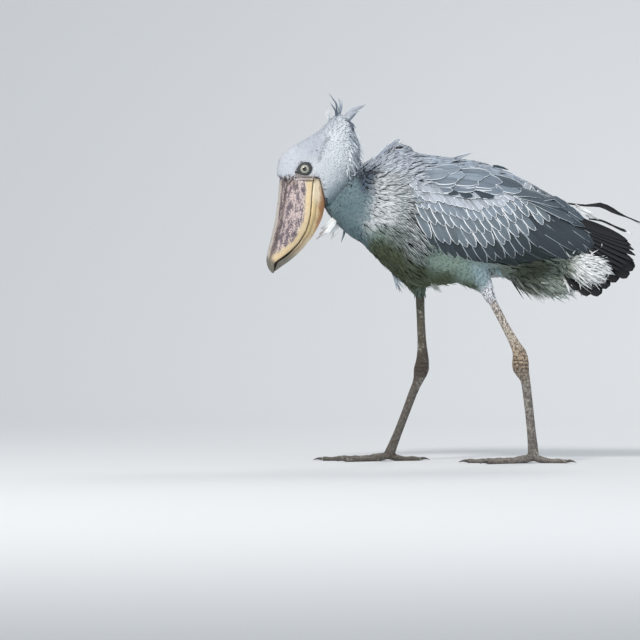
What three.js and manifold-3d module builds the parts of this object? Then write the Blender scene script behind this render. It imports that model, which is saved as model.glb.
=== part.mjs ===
// A life-size shoebill, walking with its head lowered and its tail folded.
// Millimetres. +Z is up, the bird faces -X and its left side is at -Y. The floor is z = 0.
// Each feathered piece has the outline of its coat. Neighbours keep a thin gap, so every piece is a solid
// of its own.
import * as THREE from "three";
import { mergeVertices } from "three/addons/utils/BufferGeometryUtils.js";
import Module from "manifold-3d";

const wasm = await Module();
wasm.setup();

// Driving dimensions
const GAP = 0.3; // clear space between neighbouring pieces
const AHEAD = -560; // further forward than the whole bird
const ASIDE = 200; // further out than either wing
const BILL_LENGTH = 226; // along the bill's own axis, from the forehead to the hook
const HEAD_YAW = THREE.MathUtils.degToRad(10); // the head is turned a little to the bird's left
const TAIL_PAIRS = 6; // feathers on each side of the tail
const PRIMARY_COUNT = 5; // long feathers that show at each wing's tip
const EYE_RADIUS = 15.5;
const TOE_ROOT_HEIGHT = 13; // where the toes meet under the foot
const TOE_TIP_HEIGHT = 4.6;
const TOE_RADIUS = { root: 9.6, tip: 5.8 };
const CLAW_LENGTH = 22;
const FLOOR = 0;

const LEFT = -1;
const RIGHT = 1;
const UP = new THREE.Vector3(0, 0, 1);
const ACROSS = new THREE.Vector3(0, 1, 0);

const v3 = (x, y, z) => new THREE.Vector3(x, y, z);

// Solids and cuts

function solidOf(geometry) {
  const bare = geometry.clone();
  bare.deleteAttribute("normal");
  bare.deleteAttribute("uv");
  const merged = mergeVertices(bare, 1e-3);
  const mesh = new wasm.Mesh({
    numProp: 3,
    vertProperties: new Float32Array(merged.attributes.position.array),
    triVerts: new Uint32Array(merged.index.array),
  });
  return new wasm.Manifold(mesh);
}

function geometryOf(solid) {
  const mesh = solid.getMesh();
  const geometry = new THREE.BufferGeometry();
  geometry.setAttribute("position", new THREE.BufferAttribute(new Float32Array(mesh.vertProperties), 3));
  geometry.setIndex(new THREE.BufferAttribute(new Uint32Array(mesh.triVerts), 1));
  geometry.computeVertexNormals();
  return geometry;
}

// A cut can leave crumbs beside the piece that is wanted.
function largest(solid) {
  const bodies = solid.decompose();
  return bodies.reduce((best, body) => (body.volume() > best.volume() ? body : best));
}

// The first solid less the others. Those are grown by the gap where they are made.
function cut(solid, ...others) {
  return largest(others.reduce((left, other) => left.subtract(other), solid));
}

// Lofts

// A closed surface through rings of points, with a fan over each end.
function loft(rings) {
  const count = rings[0].length;
  const points = rings.flat();
  const faces = [];
  for (let r = 0; r + 1 < rings.length; r++) {
    for (let i = 0; i < count; i++) {
      const a = r * count + i;
      const b = r * count + ((i + 1) % count);
      faces.push(a, b, b + count, a, b + count, a + count);
    }
  }
  const ends = [[rings[0], 0, false], [rings.at(-1), (rings.length - 1) * count, true]];
  for (const [ring, start, turn] of ends) {
    const centre = points.length;
    points.push(ring.reduce((sum, p) => sum.add(p), v3(0, 0, 0)).divideScalar(count));
    for (let i = 0; i < count; i++) {
      const a = start + i;
      const b = start + ((i + 1) % count);
      faces.push(...(turn ? [a, b, centre] : [b, a, centre]));
    }
  }
  if (signedVolume(points, faces) < 0) faces.reverse();
  const geometry = new THREE.BufferGeometry().setFromPoints(points);
  geometry.setIndex(faces);
  return geometry;
}

function signedVolume(points, faces) {
  let six = 0;
  for (let i = 0; i < faces.length; i += 3) {
    const [a, b, c] = [points[faces[i]], points[faces[i + 1]], points[faces[i + 2]]];
    six += a.dot(b.clone().cross(c));
  }
  return six / 6;
}

// A ring round a centre, in the plane of two unit vectors. A power of 2 makes an ellipse, and more makes it
// squarer.
function oval(centre, side, up, halfWide, halfHigh, count, power = 2) {
  const bend = (value) => Math.sign(value) * Math.abs(value) ** (2 / power);
  return Array.from({ length: count }, (_, i) => {
    const angle = (2 * Math.PI * i) / count;
    return centre.clone()
      .addScaledVector(side, halfWide * bend(Math.cos(angle)))
      .addScaledVector(up, halfHigh * bend(Math.sin(angle)));
  });
}

// Rows of numbers, with smooth curves drawn through each column, read at evenly spaced places from the first
// row to the last.
function smoothRows(rows, steps) {
  const width = rows[0].length;
  const curves = [];
  for (let column = 0; column < width; column += 3) {
    const points = rows.map((row) => v3(row[column], row[column + 1] ?? 0, row[column + 2] ?? 0));
    curves.push(new THREE.CatmullRomCurve3(points, false, "catmullrom", 0.5));
  }
  return Array.from({ length: steps + 1 }, (_, i) =>
    curves.flatMap((curve) => curve.getPoint(i / steps).toArray()));
}

// How finely each kind of limb is lofted: [rings along it, points round it].
const FINE = {
  thigh: [6, 12],
  tibia: [8, 10],
  tarsus: [9, 10],
  vent: [6, 12],
  tuft: [6, 10],
  ruff: [6, 10],
  plume: [5, 6],
  wisp: [8, 6],
};

// A limb or plume: rows of [x, y, z, half width across the bird, half depth in its own plane].
function limb(rows, [steps, count], grow = 0) {
  const smooth = smoothRows(rows, steps);
  const centres = smooth.map(([x, y, z]) => v3(x, y, z));
  return loft(smooth.map(([, , , wide, deep], i) => {
    const along = centres[Math.min(i + 1, steps)].clone().sub(centres[Math.max(i - 1, 0)]).normalize();
    const side = ACROSS.clone().addScaledVector(along, -along.dot(ACROSS)).normalize();
    const up = along.clone().cross(side).normalize();
    return oval(centres[i], side, up, wide + grow, deep + grow, count);
  }));
}

// A closed outline in the side view, as [x, z] points, made into a block that spans the bird's whole width.
function sideBlock(outline, smoothFrom = 0, smoothTo = 0) {
  const shape = new THREE.Shape();
  const points = outline.map(([x, z]) => new THREE.Vector2(x, z));
  shape.moveTo(points[0].x, points[0].y);
  points.slice(1, smoothFrom + 1).forEach((p) => shape.lineTo(p.x, p.y));
  if (smoothTo > smoothFrom) shape.splineThru(points.slice(smoothFrom + 1, smoothTo + 1));
  points.slice(Math.max(smoothTo, smoothFrom) + 1).forEach((p) => shape.lineTo(p.x, p.y));
  const settings = { depth: 2 * ASIDE, bevelEnabled: false, curveSegments: 2 };
  const geometry = new THREE.ExtrudeGeometry(shape, settings);
  geometry.rotateX(Math.PI / 2);
  geometry.translate(0, ASIDE, 0);
  return solidOf(geometry);
}

// Materials, in the plumage's and the horn's own colours

const paint = (color, roughness) => new THREE.MeshStandardMaterial({ color, roughness, metalness: 0 });
const materials = {
  pale: paint(0xbcc4cd, 0.85),
  slate: paint(0x8c97a3, 0.85),
  flight: paint(0x343a42, 0.75),
  white: paint(0xdfe2e2, 0.9),
  horn: paint(0xcdb38a, 0.45),
  skin: paint(0x8c8178, 0.7),
  claw: paint(0x4a4640, 0.45),
  eye: paint(0xb8b49c, 0.08),
};

const bird = new THREE.Group();
const head = new THREE.Group();
bird.add(head);

function add(group, name, solid, material) {
  const mesh = new THREE.Mesh(geometryOf(solid), material);
  mesh.name = name;
  group.add(mesh);
  return mesh;
}

// Trunk: breast, back, belly and rump. Rows of [x, top, bottom, half width].

const TRUNK = [
  [-224, 733, 534, 62],
  [-192, 752, 500, 76],
  [-150, 768, 458, 92],
  [-96, 761, 427, 105],
  [-22, 750, 432, 112],
  [60, 741, 442, 112],
  [138, 714, 452, 101],
  [210, 677, 458, 82],
  [270, 640, 464, 62],
  [320, 602, 474, 45],
  [356, 570, 488, 30],
  [376, 548, 504, 15],
];

function trunkSolid(grow) {
  const squareness = 2.15;
  const rings = smoothRows(TRUNK, 15).map(([x, top, bottom, halfWide]) => {
    const centre = v3(x, 0, (top + bottom) / 2);
    return oval(centre, ACROSS, UP, halfWide + grow, (top - bottom) / 2 + grow, 20, squareness);
  });
  return solidOf(loft(rings));
}

const trunk = trunkSolid(0);
const trunkGrown = trunkSolid(GAP);

// Neck: rows of [x, z, half depth, half width, lean of the section in degrees, share of the head's turn].

const NECK_X = -274; // the head turns about the upright line through this point
const NECK = [
  [-224 - GAP, 633.5, 99, 61, 0, 0],
  [-249, 638, 79, 55, 13, 0.45],
  [-274, 661, 62, 47, 38, 1],
];
const turnAboutNeck = (point, angle) =>
  point.sub(v3(NECK_X, 0, 0)).applyAxisAngle(UP, angle).add(v3(NECK_X, 0, 0));

function neckSolid(grow) {
  const rings = smoothRows(NECK, 5).map(([x, z, halfDeep, halfWide, lean, turn]) => {
    const tilt = THREE.MathUtils.degToRad(lean);
    const up = v3(Math.sin(tilt), 0, Math.cos(tilt));
    const ring = oval(v3(x, 0, z), ACROSS, up, halfWide + grow, halfDeep + grow, 18);
    return ring.map((point) => turnAboutNeck(point, turn * HEAD_YAW));
  });
  return solidOf(loft(rings));
}

// Head, made facing straight ahead and turned as one group. Its length runs from the bill's base to the
// crown.

const HEAD_ORIGIN = v3(-374, 0, 666);
const HEAD_ALONG = v3(0.5, 0, 0.866);
const HEAD_DOWN = v3(0.866, 0, -0.5);

// Rows of [distance along, forehead and crown edge, cheek and nape edge, half width].
const HEAD = [
  [-34, -62, 82, 44],
  [-2, -69, 84, 47],
  [27, -87, 87, 47],
  [50, -87, 90, 47],
  [76, -79, 93, 49],
  [104, -62, 95, 50],
  [132, -44, 92, 45],
  [160, -33, 78, 36],
  [181, -27, 56, 25],
  [197, -23, 34, 14],
  [208, -16, 14, 6],
];

function headLoft(grow) {
  const squareness = 2.1;
  const rings = smoothRows(HEAD, 12).map(([along, front, back, halfWide]) => {
    const centre = HEAD_ORIGIN.clone()
      .addScaledVector(HEAD_ALONG, along)
      .addScaledVector(HEAD_DOWN, (front + back) / 2);
    return oval(centre, ACROSS, HEAD_DOWN, halfWide + grow, (back - front) / 2 + grow, 18, squareness);
  });
  return solidOf(loft(rings));
}

// Where feathers end and the bill begins: level under the eye, then down the cheek.
const FACE_Z = 696;
const GAPE_X = -334;
const CHIN_X = -311;
const CHIN_Z = 608;
const UNDER_BILL_Z = 380;
const billSpace = (inset) => sideBlock([
  [AHEAD, FACE_Z - inset],
  [GAPE_X - inset, FACE_Z - inset],
  [CHIN_X - inset, CHIN_Z],
  [CHIN_X - inset, UNDER_BILL_Z],
  [AHEAD, UNDER_BILL_Z],
]);

// The plane of the neck's last ring, which ends the head behind.
const NECK_END = v3(-274, 0, 661);
const neckSpace = (shift) => {
  const reach = 300; // more than the head's own length
  const block = new THREE.BoxGeometry(reach, 2 * ASIDE, reach);
  block.translate(reach / 2, 0, 0);
  const tilt = THREE.MathUtils.degToRad(NECK.at(-1)[4]);
  block.rotateY(tilt);
  block.translate(NECK_END.x - shift * Math.cos(tilt), 0, NECK_END.z + shift * Math.sin(tilt));
  return solidOf(block);
};

const EYE = v3(-372, 34.5, 717.5);

function eyeSolid(side, grow) {
  const ball = new THREE.SphereGeometry(EYE_RADIUS + grow, 12, 8);
  ball.rotateX(Math.PI / 2);
  ball.translate(EYE.x, side * EYE.y, EYE.z);
  return solidOf(ball);
}

// A neck in the head's own frame, for the cut between them.
function neckTurnedBack(grow) {
  const shape = geometryOf(neckSolid(grow));
  shape.translate(-NECK_X, 0, 0);
  shape.rotateZ(-HEAD_YAW);
  shape.translate(NECK_X, 0, 0);
  return solidOf(shape);
}

const headSolid = cut(
  headLoft(0),
  billSpace(0),
  neckSpace(GAP),
  neckTurnedBack(GAP),
  eyeSolid(LEFT, GAP),
  eyeSolid(RIGHT, GAP),
);

// Bill: an axis from the bill's base to its tip, with the culmen on one edge and the chin on the other.

const BILL_BASE = v3(-376, 0, 679);
const BILL_ALONG = v3(-0.34, 0, -0.94).normalize();
const BILL_DOWN = v3(0.94, 0, -0.34).normalize();

// Rows of [distance along, culmen edge, chin edge, half width, height of the culmen's keel].
const BILL = [
  [-42, -62, 44, 44, 5],
  [0, -56, 64, 50, 8],
  [30, -48, 74, 54, 9],
  [65, -39, 77, 57, 8],
  [105, -31, 71, 56, 6],
  [145, -26, 58, 49, 5],
  [178, -23, 41, 37, 5],
  [202, -19, 28, 24, 6],
  [218, -9, 20, 13, 5],
  [BILL_LENGTH, 4, 15, 5, 1],
];

// From the culmen (0) to the chin (pi): a keel, a shallow groove beside it, a full flank and a rounded chin.
function billRing(centre, halfWide, halfDeep, keel, count) {
  return Array.from({ length: count }, (_, i) => {
    const angle = (2 * Math.PI * i) / count;
    const fromTop = Math.min(angle, 2 * Math.PI - angle);
    const side = Math.sin(angle);
    const full = 1.18 - 0.36 * (fromTop / Math.PI);
    const wide = Math.sign(side) * halfWide * Math.abs(side) ** full;
    const ridge = keel * (Math.exp(-((fromTop / 0.24) ** 2)) - 1) * Math.exp(-((fromTop / 1.1) ** 2));
    const deep = -halfDeep * Math.cos(angle) - ridge;
    return centre.clone().addScaledVector(ACROSS, wide).addScaledVector(BILL_DOWN, deep);
  });
}

function billLoft(narrower) {
  const rings = smoothRows(BILL, 13).map(([along, culmen, chin, halfWide, keel]) => {
    const centre = BILL_BASE.clone()
      .addScaledVector(BILL_ALONG, along)
      .addScaledVector(BILL_DOWN, (culmen + chin) / 2);
    return billRing(centre, Math.max(halfWide - narrower, 2), (chin - culmen) / 2, keel, 22);
  });
  return solidOf(loft(rings));
}

// The cutting edges in the side view, from the gape to behind the hook. Rows of [x, z, how far they part].
const EDGES = [
  [-352, 720, 1], [-352, 696, 1], [-355, 668, 1], [-358, 642, 1], [-361, 605, 1.2], [-371, 568, 1.8],
  [-389, 538, 3], [-413, 513, 6], [-436, 496, 9], [-444.5, 486, 10], [-441, 455, 6],
];
const [edgeX, edgeZ, edgeParted] = EDGES.at(-1);
const BEHIND_BILL_X = -250;
const upperSpace = sideBlock([
  [AHEAD, EDGES[0][1]],
  ...EDGES.map(([x, z]) => [x, z]),
  [edgeX, UNDER_BILL_Z],
  [AHEAD, UNDER_BILL_Z],
], 1, EDGES.length);
const lowerSpace = sideBlock([
  [BEHIND_BILL_X, EDGES[0][1]],
  ...EDGES.map(([x, z, parted]) => [x + parted, z]),
  [edgeX + edgeParted, UNDER_BILL_Z],
  [BEHIND_BILL_X, UNDER_BILL_Z],
], 1, EDGES.length);

const faceSpace = billSpace(GAP);
const upperBill = largest(billLoft(0).intersect(faceSpace).intersect(upperSpace));
const lowerBill = largest(billLoft(2.5).intersect(faceSpace).intersect(lowerSpace));

// Crest: plumes that stand on the crown. Each is [half breadth, half thickness, route of [x, z], y at root
// and tip].

const CREST = {
  crest_plume_1: [2.2, 1.6, [[-294, 828], [-285, 860], [-289, 882], [-307, 905]], [-4, -9]],
  crest_plume_2: [3.2, 1.8, [[-286, 838], [-276, 866], [-281, 894]], [4, 9]],
  crest_plume_3: [3.6, 2.2, [[-282, 832], [-262, 856], [-242, 871], [-216, 876]], [-7, -13]],
  crest_plume_4: [3.6, 2.2, [[-270, 826], [-250, 847], [-232, 866]], [8, 15]],
  crest_plume_5: [2.4, 1.6, [[-302, 823], [-305, 848], [-312, 868]], [6, 11]],
};

// A plume's vane is widest in its middle and its tip is fine but not sharp. The list is its breadth from
// root to tip.
const VANE = [0.6, 0.9, 1, 0.82, 0.35];

function plumeRows(halfBroad, halfThick, route, [rootY, tipY]) {
  const curve = new THREE.CatmullRomCurve3(route.map(([x, z], i) =>
    v3(x, THREE.MathUtils.lerp(rootY, tipY, i / (route.length - 1)), z)));
  return VANE.map((share, i) => {
    const t = i / (VANE.length - 1);
    const thick = Math.max(halfThick * (1 - 0.5 * t), 0.7);
    return [...curve.getPoint(t).toArray(), thick, Math.max(halfBroad * share, 0.8)];
  });
}

const headForCrest = headLoft(GAP);
const crest = Object.entries(CREST).map(([name, plume]) => [
  name, cut(solidOf(limb(plumeRows(...plume), FINE.plume)), headForCrest),
]);

// Wings, folded over the trunk's sides. Rows of [x, top, bottom, outermost y, thickness, how far the edges
// tuck in].

const WING = [
  [-106, 634, 588, 104, 14, 8],
  [-88, 654, 546, 117, 26, 18],
  [-58, 667, 519, 127, 34, 28],
  [-10, 671, 499, 133, 38, 34],
  [45, 670, 480, 134, 38, 36],
  [114, 668, 473, 127, 36, 36],
  [187, 664, 480, 112, 32, 32],
  [250, 645, 488, 94, 26, 24],
  [306, 612, 499, 76, 18, 15],
  [342, 582, 512, 62, 12, 8],
  [362, 560, 527, 54, 6, 3],
];

function wingSolid(side, grow) {
  const count = 16;
  const rings = smoothRows(WING, 13).map(([x, top, bottom, outermost, thick, tuck]) => {
    const half = thick / 2 + grow;
    return Array.from({ length: count }, (_, i) => {
      const angle = (2 * Math.PI * i) / count;
      const rise = Math.sin(angle);
      const y = outermost - thick / 2 - tuck * rise * rise + half * Math.cos(angle);
      return v3(x, side * y, (top + bottom) / 2 + ((top - bottom) / 2 + grow) * rise);
    });
  });
  return solidOf(loft(rings));
}

// A fan of feathers as one thin sheet. `edgeAt` gives its root and tip for a share across it, from 0 to 1.
// Every feather has a squared tip, with a notch beside it.
const NOTCH = 0.06; // depth of the notches, as a share of the feathers' length
const FEATHER_HALF_THICK = 2.1;

function fan(feathers, edgeAt, halfThick, grow) {
  const shares = Array.from({ length: feathers }, (_, i) => [i, i + 0.3, i + 0.7]).flat().concat(feathers);
  const edges = shares.map((share) => {
    const [root, tip] = edgeAt(share / feathers);
    return [root, Number.isInteger(share) ? root.clone().lerp(tip, 1 - NOTCH) : tip];
  });
  return sheet(spread(edges, grow), halfThick + grow);
}

// The same fan with its outline moved outwards.
function spread(edges, grow) {
  const away = (from, to) => to.clone().sub(from).setLength(grow);
  const longer = edges.map(([root, tip]) => [
    root.clone().add(away(tip, root)),
    tip.clone().add(away(root, tip)),
  ]);
  for (const [outer, inner] of [[longer[0], longer[1]], [longer.at(-1), longer.at(-2)]]) {
    outer.forEach((point, i) => point.add(away(inner[i], point)));
  }
  return longer;
}

// A closed sheet about a ruled surface, its two faces held apart along the local normal.
function sheet(edges, halfThick) {
  const width = edges.length;
  const normals = edges.map(([root, tip], i) => {
    const before = edges[Math.max(i - 1, 0)];
    const after = edges[Math.min(i + 1, width - 1)];
    const along = tip.clone().sub(root);
    return [0, 1].map((end) => after[end].clone().sub(before[end]).cross(along).setLength(halfThick));
  });
  // Each share across has four corners: root and tip on the one face, then root and tip on the other.
  const points = edges.flatMap(([root, tip], i) => [
    root.clone().add(normals[i][0]),
    tip.clone().add(normals[i][1]),
    root.clone().sub(normals[i][0]),
    tip.clone().sub(normals[i][1]),
  ]);
  const faces = [];
  const quad = (a, b, c, d) => faces.push(a, b, c, a, c, d);
  for (let a = 0; a < 4 * (width - 1); a += 4) {
    quad(a, a + 1, a + 5, a + 4);
    quad(a + 1, a + 3, a + 7, a + 5);
    quad(a + 3, a + 2, a + 6, a + 7);
    quad(a + 2, a, a + 4, a + 6);
  }
  const end = 4 * (width - 1);
  quad(0, 2, 3, 1);
  quad(end, end + 1, end + 3, end + 2);
  if (signedVolume(points, faces) < 0) faces.reverse();
  const geometry = new THREE.BufferGeometry().setFromPoints(points);
  geometry.setIndex(faces);
  return solidOf(geometry);
}

// Wing tips: the long dark primaries, in a closed fan under the wing's rear end, from top to bottom.
const PRIMARY_ROOTS = new THREE.CatmullRomCurve3([v3(262, 84, 624), v3(262, 78, 568)]);
const PRIMARY_TIPS = new THREE.CatmullRomCurve3([
  v3(422, 53, 546), v3(438, 50, 524), v3(443, 46, 503), v3(436, 42, 488), v3(416, 38, 474),
]);

function primariesSolid(side, grow) {
  const mirror = v3(1, side, 1);
  const edgeAt = (u) => [PRIMARY_ROOTS, PRIMARY_TIPS].map((line) => line.getPoint(u).multiply(mirror));
  return fan(PRIMARY_COUNT, edgeAt, FEATHER_HALF_THICK, grow);
}

// Tail: folded like a steep roof, in two halves. The edges of one half run from the ridge to the eave.
const TAIL_ROOTS = new THREE.CatmullRomCurve3([v3(270, 2.8, 572), v3(262, 10, 552), v3(252, 20, 534)]);
const TAIL_TIPS = new THREE.CatmullRomCurve3([
  v3(444, 2.8, 474), v3(447, 9, 458), v3(410, 17, 450), v3(380, 25, 430), v3(349, 32, 403), v3(309, 38, 428),
]);

function tailSolid(side, grow) {
  const mirror = v3(1, side, 1);
  const edgeAt = (u) => [TAIL_ROOTS, TAIL_TIPS].map((line) => line.getPoint(u).multiply(mirror));
  return fan(TAIL_PAIRS, edgeAt, FEATHER_HALF_THICK, grow);
}

// Feathers under the rump: grey ones along the vent, and the white tuft under the tail.

const VENT = [
  [118, 0, 468, 50, 14],
  [170, 0, 452, 54, 26],
  [225, 0, 443, 50, 28],
  [275, 0, 445, 38, 25],
  [300, 0, 452, 22, 18],
];
const UNDERTAIL = [
  [262, 30, 484, 16, 18],
  [300, 44, 480, 24, 34],
  [335, 52, 475, 22, 38],
  [362, 54, 470, 15, 26],
  [378, 54, 466, 6, 12],
];

// Legs. Each leg's rows run down it as [x, y, z, half width across, half depth].

const LEGS = {
  left: {
    side: LEFT,
    foot: [195, -52],
    thigh: [
      [-72, -50, 508, 40, 42], [-10, -58, 486, 42, 42], [46, -62, 460, 34, 38],
      [78, -61, 432, 22, 25], [91, -60, 401, 12.5, 12.5],
    ],
    tibia: [
      [91.4, -60, 400, 10.4, 10.4], [112, -59, 360, 9.4, 9.6], [131, -58, 324, 9.6, 10],
      [151, -57, 287, 12, 13], [161, -56, 266, 15.6, 18], [162.4, -56, 241, 16.4, 21.4],
    ],
    tarsus: [
      [162.6, -56, 240.4, 16.4, 21.4], [165, -56, 226, 15, 19.6], [173, -55, 208, 11.4, 12.8],
      [177, -55, 188, 10.2, 11.4], [185, -54, 120, 9.2, 10.8], [191, -53, 60, 9.6, 11.2],
      [194, -52, 28, 13.4, 13.4], [194, -52, 12, 12.4, 11.4],
    ],
  },
  right: {
    side: RIGHT,
    foot: [-160, 50],
    thigh: [
      [-116, 52, 540, 42, 64], [-103, 58, 482, 40, 54], [-88, 60, 440, 26, 32], [-81, 58, 414, 13.6, 13.4],
    ],
    tibia: [
      [-81, 58, 413, 11.6, 11.4], [-79.4, 57, 357, 9.8, 10.2], [-76.5, 55, 297, 10.4, 10.8],
      [-75, 54, 268, 12.8, 13.2], [-75, 54, 244, 15.4, 16.6], [-77.6, 54, 226, 16, 19.2],
    ],
    tarsus: [
      [-77.8, 54, 225.4, 16, 19.2], [-81.8, 54, 209, 13.6, 15.8], [-87, 54, 194, 10.8, 11.8],
      [-98, 53, 168, 9.8, 10.6], [-119, 52, 112, 9, 10], [-143, 51, 50, 9.4, 10.6],
      [-153, 50, 26, 13, 13], [-158, 50, 12, 12.2, 11.2],
    ],
  },
};

// Toes: [name, length, heading in degrees from straight ahead towards the outside, joints]. The first points
// backwards.
const TOES = [
  ["hallux", 84, 168, 2],
  ["inner_toe", 118, -27, 2],
  ["middle_toe", 162, 2, 3],
  ["outer_toe", 134, 31, 3],
];

// Rings are flattened where they meet the floor, so each toe stands on a narrow level sole.
function onFloor(rings) {
  rings.forEach((ring) => ring.forEach((point) => {
    point.z = Math.max(point.z, FLOOR);
  }));
  return rings;
}

function toeFrame([x, y], side, heading) {
  const angle = THREE.MathUtils.degToRad(heading);
  const ahead = v3(-Math.cos(angle), side * Math.sin(angle), 0);
  return { root: v3(x, y, 0), ahead, across: v3(-ahead.y, ahead.x, 0) };
}

function toeSolid(foot, side, [, length, heading, joints], grow) {
  const { root, ahead, across } = toeFrame(foot, side, heading);
  const steps = joints + 3;
  const rings = Array.from({ length: steps + 1 }, (_, i) => {
    const t = i / steps;
    const knuckle = 1.1 * Math.cos(2 * Math.PI * t * (joints + 0.5)) * Math.sin(Math.PI * Math.min(1, 2 * t));
    const radius = THREE.MathUtils.lerp(TOE_RADIUS.root, TOE_RADIUS.tip, t) - knuckle + grow;
    const height = THREE.MathUtils.lerp(TOE_ROOT_HEIGHT, TOE_TIP_HEIGHT, Math.min(1, 2.4 * t));
    const centre = root.clone().addScaledVector(ahead, t * (length + grow)).setZ(height);
    return oval(centre, across, UP, radius, radius * 0.92, 8);
  });
  return solidOf(loft(onFloor(rings)));
}

function clawSolid(foot, side, [, length, heading]) {
  const { root, ahead, across } = toeFrame(foot, side, heading);
  const steps = 3;
  const rings = Array.from({ length: steps + 1 }, (_, i) => {
    const t = i / steps;
    const radius = THREE.MathUtils.lerp(4.8, 0.9, t);
    const height = 5.2 + 2.2 * Math.sin(Math.PI * t) - 3.4 * t;
    const centre = root.clone().addScaledVector(ahead, length + GAP + t * CLAW_LENGTH).setZ(height);
    return oval(centre, across, UP, radius * 0.8, radius, 6);
  });
  return solidOf(loft(onFloor(rings)));
}

// Loose feathers that break the outline: [half breadth, half thickness, route of [x, z], y at root and tip].

const THROAT = {
  throat_plume_1: [4.4, 1.4, [[-288, 594], [-311, 568], [-334, 547]], [-14, -20]],
  throat_plume_2: [3.6, 1.4, [[-282, 588], [-292, 564], [-299, 546]], [-4, -8]],
  throat_plume_3: [2.6, 1.3, [[-264, 576], [-270, 554], [-275, 536]], [6, 8]],
};
const MANTLE_RUFF = [
  [-166, 0, 752, 30, 8],
  [-148, 0, 764, 36, 12],
  [-128, -2, 770, 32, 12],
  [-110, -3, 770, 18, 7],
  [-100, -4, 768, 6, 3],
];
const WISPS = {
  wing_wisp_upper: [
    4.2, 1.6,
    [[236, 640], [317, 628], [359, 629], [386, 617], [410, 605], [440, 594], [470, 582]],
    [-24, -12],
  ],
  wing_wisp_lower: [2.4, 1.4, [[330, 596], [360, 592], [388, 580], [410, 570], [431, 563]], [-30, -22]],
};

// Assembly: each piece is cut back from those that carry it

add(bird, "trunk", trunk, materials.slate);
add(bird, "neck", neckSolid(0), materials.pale);

head.position.set(NECK_X, 0, 0);
head.rotation.z = HEAD_YAW;
const headFrame = new THREE.Group();
headFrame.position.set(-NECK_X, 0, 0);
head.add(headFrame);
add(headFrame, "head", headSolid, materials.pale);
add(headFrame, "bill_upper", upperBill, materials.horn);
add(headFrame, "bill_lower", lowerBill, materials.horn);
add(headFrame, "eye_left", eyeSolid(LEFT, 0), materials.eye);
add(headFrame, "eye_right", eyeSolid(RIGHT, 0), materials.eye);
crest.forEach(([name, solid]) => add(headFrame, name, solid, materials.pale));

// The tarsus ends above the floor, inside the root of the toes.
const SOLE_Z = TOE_ROOT_HEIGHT - 4;
const SOLE_SPACE = sideBlock([[AHEAD, SOLE_Z], [-AHEAD, SOLE_Z], [-AHEAD, AHEAD], [AHEAD, AHEAD]]);

const thighs = {};
for (const [name, leg] of Object.entries(LEGS)) {
  const thigh = cut(solidOf(limb(leg.thigh, FINE.thigh)), trunkGrown);
  thighs[leg.side] = solidOf(limb(leg.thigh, FINE.thigh, GAP));
  add(bird, `thigh_${name}`, thigh, materials.slate);
  const tibia = cut(solidOf(limb(leg.tibia, FINE.tibia)), thighs[leg.side]);
  add(bird, `tibia_${name}`, tibia, materials.skin);
  const tarsusGrown = solidOf(limb(leg.tarsus, FINE.tarsus, GAP));
  const tibiaGrown = solidOf(limb(leg.tibia, FINE.tibia, GAP));
  const tarsusLoft = solidOf(limb(leg.tarsus, FINE.tarsus)).subtract(SOLE_SPACE);
  add(bird, `tarsus_${name}`, cut(tarsusLoft, tibiaGrown), materials.skin);

  const taken = [tarsusGrown];
  for (const toe of [TOES[2], TOES[0], TOES[1], TOES[3]]) {
    add(bird, `${toe[0]}_${name}`, cut(toeSolid(leg.foot, leg.side, toe, 0), ...taken), materials.skin);
    taken.push(toeSolid(leg.foot, leg.side, toe, GAP));
    add(bird, `${toe[0]}_claw_${name}`, clawSolid(leg.foot, leg.side, toe), materials.claw);
  }
}

const wingsGrown = [];
for (const [name, side] of [["left", LEFT], ["right", RIGHT]]) {
  const wing = cut(wingSolid(side, 0), trunkGrown, thighs[side]);
  const wingGrown = wingSolid(side, GAP);
  add(bird, `wing_${name}`, wing, materials.slate);
  add(bird, `primaries_${name}`, cut(primariesSolid(side, 0), wingGrown, trunkGrown), materials.flight);
  wingsGrown.push(wingGrown, primariesSolid(side, GAP));
}

const tailGrown = [];
for (const [name, side] of [["left", LEFT], ["right", RIGHT]]) {
  add(bird, `tail_${name}`, cut(tailSolid(side, 0), trunkGrown, ...wingsGrown), materials.flight);
  tailGrown.push(tailSolid(side, GAP));
}
const aroundVent = [trunkGrown, ...Object.values(thighs), ...tailGrown, ...wingsGrown];
add(bird, "vent_feathers", cut(solidOf(limb(VENT, FINE.vent)), ...aroundVent), materials.slate);
const ventGrown = solidOf(limb(VENT, FINE.vent, GAP));
for (const [name, side] of [["left", LEFT], ["right", RIGHT]]) {
  const rows = UNDERTAIL.map(([x, y, ...rest]) => [x, side * y, ...rest]);
  const tuft = cut(solidOf(limb(rows, FINE.tuft)), trunkGrown, ventGrown, ...tailGrown, ...wingsGrown);
  add(bird, `undertail_tuft_${name}`, tuft, materials.white);
}
for (const [name, wisp] of Object.entries(WISPS)) {
  const feather = solidOf(limb(plumeRows(...wisp), FINE.wisp));
  add(bird, name, cut(feather, trunkGrown, ...wingsGrown), materials.flight);
}

for (const [name, plume] of Object.entries(THROAT)) {
  add(bird, name, cut(solidOf(limb(plumeRows(...plume), FINE.plume)), neckSolid(GAP)), materials.pale);
}
add(bird, "mantle_ruff", cut(solidOf(limb(MANTLE_RUFF, FINE.ruff)), trunkGrown), materials.slate);

// The model's origin is the middle of its footprint box, at the floor.
const box = new THREE.Box3().setFromObject(bird, true);
bird.position.set(-(box.min.x + box.max.x) / 2, -(box.min.y + box.max.y) / 2, 0);

export default bird;
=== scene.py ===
# %% [markdown]
# # A shoebill in its feathers
# The frame gives a plain faceted bird: trunk, head, legs, wings and tail as closed solids. This notebook dresses it.
# One skin is grown from the solids, then vanes are laid over it as a bird's feathers lie. The bill, eyes and claws are
# made on their own. Lengths in the tables are millimetres, and Blender's own unit stays the metre.

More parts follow.
